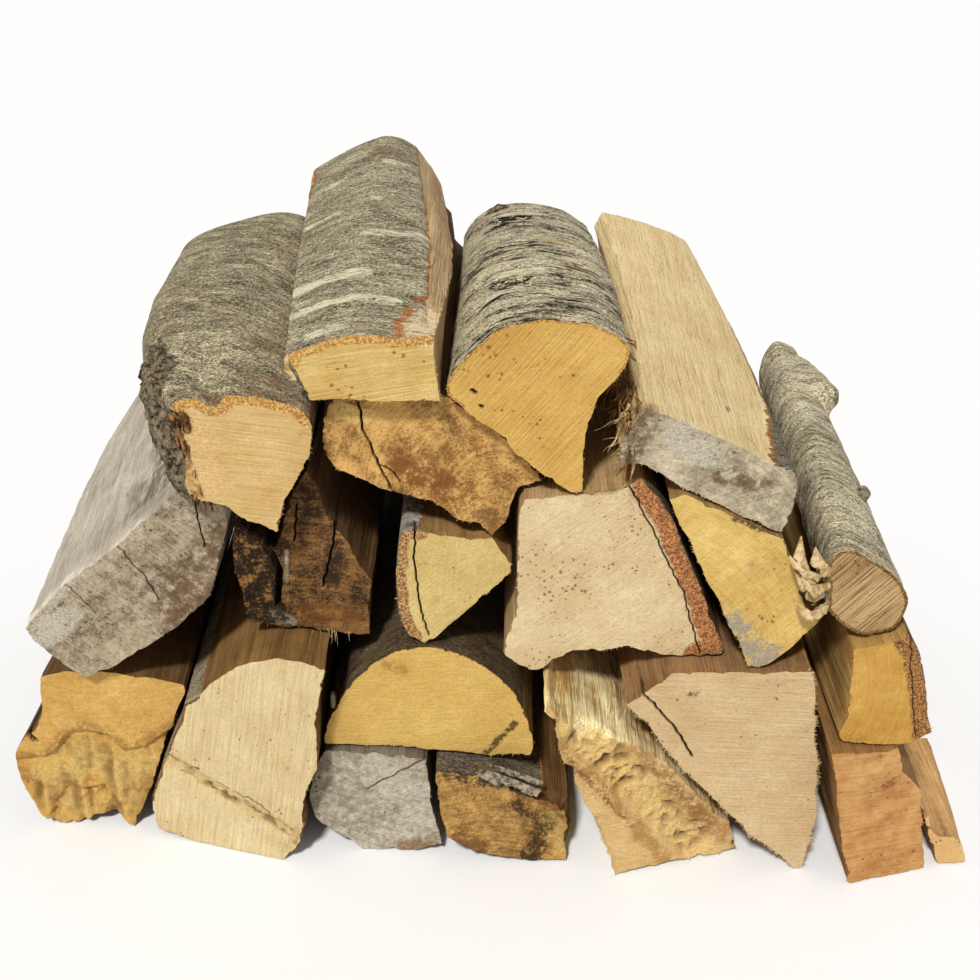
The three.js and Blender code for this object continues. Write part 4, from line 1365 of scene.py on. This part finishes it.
def loose_piece(title, points, faces, finish):
    mesh = bpy.data.meshes.new(title)
    places = np.array(points)
    places[:, 2] = np.maximum(places[:, 2], OFF_THE_FLOOR)
    mesh.from_pydata([tuple(place) for place in places * MM], [], faces)
    mesh.validate()
    mesh.materials.append(finish)
    mesh.polygons.foreach_set("use_smooth", np.ones(len(mesh.polygons), bool))
    piece = put_in_scene(title, mesh)
    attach(piece, "root")


# %% Finish of loose parts
CRUMB_BUMP = 0.002


def crumbly(name, light, deep, crumb_mm=3.8):
    finish, tree, shader = new_finish(name)
    place = add(tree, "TexCoord", None, "Object")
    tone = patterns(tree, place, {"tone": ((crumb_mm,) * 3, 6.0, 0.72)})["tone"]
    colour = layered(tree, deep, [(tone, 0.4, 0.6, 1.0, light)])
    close_finish(tree, shader, colour, tone, CRUMB_BUMP, 0.8, 0.88, 0.18)
    return finish


pale_fibre = crumbly("torn_pale_fibre", "#dcc294", "#a07e4c")
brown_fibre = crumbly("torn_brown_fibre", "#a07848", "#5c4022")
red_fibre = crumbly("torn_red_fibre", "#a87848", "#3c2616")
dark_crust = crumbly("burl_crust", "#8f8064", "#1f1710", 3.0)
grey_flap = crumbly("bark_flap_grey", "#b0a288", "#43392b", 3.0)

# %% [markdown]
# ## Fuzz along the sawn edges
#
# Where the saw leaves the wood, on the lower edges of an end, it tears out a fringe of short
# fibres. Some hundred small fibres along each lower rim give that fringe.

# %% Fringe of each sawn end
FRINGE_TRIES = 4
for name, (rim, out) in rims.items():
    notes = LOGS[name]
    tones = notes.get("end_tones", END_TONES[notes["slot"]])
    finish = crumbly(name + "_fringe_fibre", tones[0], tones[1])
    points, faces = [], []
    torn_here = rough_chance(rim, (14, 14, 14), 77)
    for i, place in enumerate(rim):
        low_side = 0.3 - out[i][2] + (notes["fringe"] - 1) * max(0, out[i][0])
        for _ in range(FRINGE_TRIES if notes["fringe"] < 2 else 3 * FRINGE_TRIES):
            if rng.random() > low_side * (0.7 + torn_here[i]) or place[2] < 1.5:
                continue
            after = rim[(i + 1) % len(rim)]
            start = place + (after - place) * rng.random() - out[i] * 0.6
            start[1] += rng.uniform(0.2, 1.5)
            length = rng.uniform(0.5, 1.7) * (1 + max(0, torn_here[i])) * notes["fringe"] ** 0.5
            way = out[i] + rng.normal(0, 0.5, 3) * np.array([1, 0.4, 1])
            path = wavy_path(start, way, length, 0.3)[::2]
            fibre(path, rng.uniform(0.3, 0.9), 0.3, points, faces)
    if points:
        loose_piece(name + "_fringe", points, faces, finish)
print("fringes on", len(rims), "logs")

# %% [markdown]
# ## Torn fibres and flaps
#
# The left side of the plank was torn rather than split, and a beard of fibres hangs from it. The
# branch has broad pale shavings at its lower left edge. Bark flaps stand off the slab log and the
# brown bottom log, and a few strands hang from the brown cracked log.

# %% Beard of the plank
points, faces = [], []
for _ in range(46):
    start = (rng.uniform(55, 61), rng.uniform(-126, -60), rng.uniform(222, 247))
    way = (rng.uniform(-0.7, 0.1), rng.uniform(-0.5, 0.3), -1)
    path = wavy_path(start, way, rng.uniform(6, 20), 0.3)
    fibre(path, rng.uniform(0.6, 2.2), 0.3, points, faces)
loose_piece("plank_beard", points, faces, pale_fibre)
points, faces = [], []
for _ in range(90):
    start = (rng.uniform(54, 60), rng.uniform(-122, 40), rng.uniform(226, 252))
    path = wavy_path(start, (rng.uniform(-0.3, 0.1), -1.2, -0.5), rng.uniform(10, 34), 0.12)
    fibre(path, rng.uniform(1.0, 3.2), 0.8, points, faces)
loose_piece("plank_torn_slivers", points, faces, brown_fibre)

# %% Ragged sheets
SHEET_THICK = 0.8


def along_course(course, stations):
    course = np.array(course, float)
    run = np.r_[0, np.cumsum(np.linalg.norm(np.diff(course[:, :3], axis=0), axis=1))]
    at = np.linspace(0, run[-1], stations)
    return np.stack([np.interp(at, run, column) for column in course.T], axis=1)


def ragged_sheet(course, wide, fall, seed, points, faces, stations=44, rows=9):
    spine = along_course(course, stations)
    edge = wide * (0.75 + 0.5 * rough_chance(spine, (5, 5, 5), seed, 4))
    edge *= np.minimum(1, np.sin(math.pi * np.linspace(0.03, 0.97, stations)) * 2.5)
    down = np.array(fall, float) / np.linalg.norm(fall)
    share = np.linspace(0, 1, rows)
    grid = spine[:, None] + down * (edge[:, None] * share)[..., None]
    flat = grid.reshape(-1, 3)
    flat[:, 1] -= 0.8 + 1.1 * rough_chance(flat, (6, 6, 6), seed + 1, 4)
    base = len(points)
    points.extend(flat)
    points.extend(flat + np.array([0, SHEET_THICK, 0]))
    back = base + len(flat)
    for i in range(stations - 1):
        for j in range(rows - 1):
            a = i * rows + j
            quad = (a, a + 1, a + rows + 1, a + rows)
            faces.append(tuple(base + spot for spot in quad))
            faces.append(tuple(back + spot for spot in reversed(quad)))
    around = [(i * rows, (i + 1) * rows) for i in range(stations - 1)]
    around += [((stations - 1) * rows + j, (stations - 1) * rows + j + 1) for j in range(rows - 1)]
    around += [((i + 1) * rows + rows - 1, i * rows + rows - 1) for i in range(stations - 1)]
    around += [(j + 1, j) for j in range(rows - 1)]
    for a, b in around:
        faces.append((base + a, base + b, back + b, back + a))


# %% Shavings of the branch
# Each shaving: its bent spine, its width and the way it hangs.
SHAVINGS = [
    ([(133, -132, 190), (135, -136, 181), (139, -136, 171), (147, -131, 160)], 8.0, (-0.7, -0.4, -0.8)),
    ([(131, -133, 174), (138, -138, 169), (149, -131, 166)], 7.0, (0.1, -0.4, -1)),
    ([(133, -133, 158), (140, -136, 154), (149, -131, 155)], 6.0, (0.1, -0.3, -1)),
    ([(140, -130, 184), (145, -134, 177), (151, -129, 170)], 6.5, (-0.6, -0.5, -0.8)),
    ([(128, -134, 182), (134, -138, 177), (143, -135, 172)], 5.0, (-0.1, -0.5, -1)),
]
points, faces = [], []
for number, (course, wide, fall) in enumerate(SHAVINGS):
    ragged_sheet(course, wide, fall, 141 + 3 * number, points, faces, 30, 7)
for _ in range(16):
    start = (rng.uniform(146, 150), -130, rng.uniform(148, 176))
    way = (-1, rng.uniform(-0.6, 0), rng.uniform(-0.8, 0.3))
    fibre(wavy_path(start, way, rng.uniform(4, 11), 0.3), rng.uniform(0.6, 1.6), 0.4, points, faces)
loose_piece("branch_shavings", points, faces, pale_fibre)

# %% Flaps, strands and stubs
points, faces = [], []
ragged_sheet([(-12, -127, 60), (0, -128, 58), (12, -128, 52), (21, -127, 47)], 8.5, (0.25, -0.1, -1), 121,
             points, faces)
ragged_sheet([(-4, -125, 61), (8, -126, 58), (22, -126, 51)], 5.0, (0.4, -0.1, -1), 127, points, faces)
loose_piece("brown_bottom_flap", points, faces, grey_flap)

points, faces = [], []
ragged_sheet([(-88, -122, 272), (-88, -122, 266), (-85, -122, 260)], 4.0, (-0.9, 0.1, -0.4), 131,
             points, faces)
loose_piece("slab_bark_flap", points, faces, pale_fibre)

points, faces = [], []
lump((-79.5, -110, 88), (1.6, 2.5, 4.5), 1.2, 137, points, faces)
loose_piece("half_moon_stub", points, faces, grey_flap)

points, faces = [], []
for _ in range(14):
    start = (rng.uniform(-96, -70), -103, rng.uniform(121, 124))
    fibre(wavy_path(start, (0.05, -0.3, -1), rng.uniform(3, 8), 0.2), 0.4, 0.25, points, faces)
loose_piece("cracked_log_strands", points, faces, pale_fibre)

# %% [markdown]
# ## Burl
#
# A burl grew on the left flank of the top left log. It is a crusty dark swelling under the bark
# that runs down to the sawn end. A thick wavy body follows its course, and several layers of
# chance break its surface up.

# %% Burl and knots
def crust(course, rough, seed, points, faces, stations=70, turns=44):
    spine = along_course(course, stations)
    centres, radii = spine[:, :3], spine[:, 3]
    radii = radii * np.minimum(1, np.sin(math.pi * np.linspace(0.02, 0.98, stations)) * 3) ** 0.5
    base = len(points)
    for n, centre in enumerate(centres):
        way = centres[min(n + 1, stations - 1)] - centres[max(n - 1, 0)]
        side = np.cross(way, (0, 1, 0.2))
        side /= np.linalg.norm(side)
        out = np.cross(way, side)
        out /= np.linalg.norm(out)
        for spin in np.linspace(0, 2 * math.pi, turns, endpoint=False):
            points.append(centre + radii[n] * (side * math.cos(spin) + out * math.sin(spin)))
    ring = np.array(points[base:])
    away = ring - np.repeat(centres, turns, axis=0)
    away /= np.linalg.norm(away, axis=1)[:, None]
    folds = np.abs(rough_chance(ring, (4, 4, 9), seed + 3, 4))
    swell = rough_chance(ring, (11, 11, 14), seed, 4)
    points[base:] = list(ring + away * (rough * swell - 1.6 * rough * folds)[:, None])
    faces.extend(joined_rings(base, stations, turns))
    faces.append(tuple(base + i for i in reversed(range(turns))))
    faces.append(tuple(base + (stations - 1) * turns + i for i in range(turns)))


# Each place on the burl's course: x, y, z and radius.
BURL = [
    (-156, -44, 245, 6), (-154, -62, 246, 10), (-149, -86, 244, 12), (-144, -104, 238, 11),
    (-142, -114, 226, 9), (-138, -119, 212, 7), (-133, -121, 200, 4.5),
]
points, faces = [], []
crust(BURL, 3.2, 90, points, faces)
loose_piece("burl", points, faces, dark_crust)

# Torn strips of reddish wood stand between the burl and the sawn end.
points, faces = [], []
for _ in range(80):
    share = rng.random()
    start = np.array((-138 + 9 * share, -120, 249 - 42 * share)) + rng.normal(0, (1.6, 3.0, 1.5))
    path = wavy_path(start, (0.12, -0.15, -1), rng.uniform(5, 13), 0.12)
    fibre(path, rng.uniform(1.5, 4.0), 1.6, points, faces)
loose_piece("burl_torn_strips", points, faces, red_fibre)

points, faces = [], []
lump((2, 114, 262), (7, 5, 4.5), 3.0, 101, points, faces)
loose_piece("half_round_knob", points, faces, dark_crust)
points, faces = [], []
lump((178, -60, 174), (4, 5, 4), 1.5, 103, points, faces)
loose_piece("branch_knob", points, faces, grey_flap)
print("loose parts done")
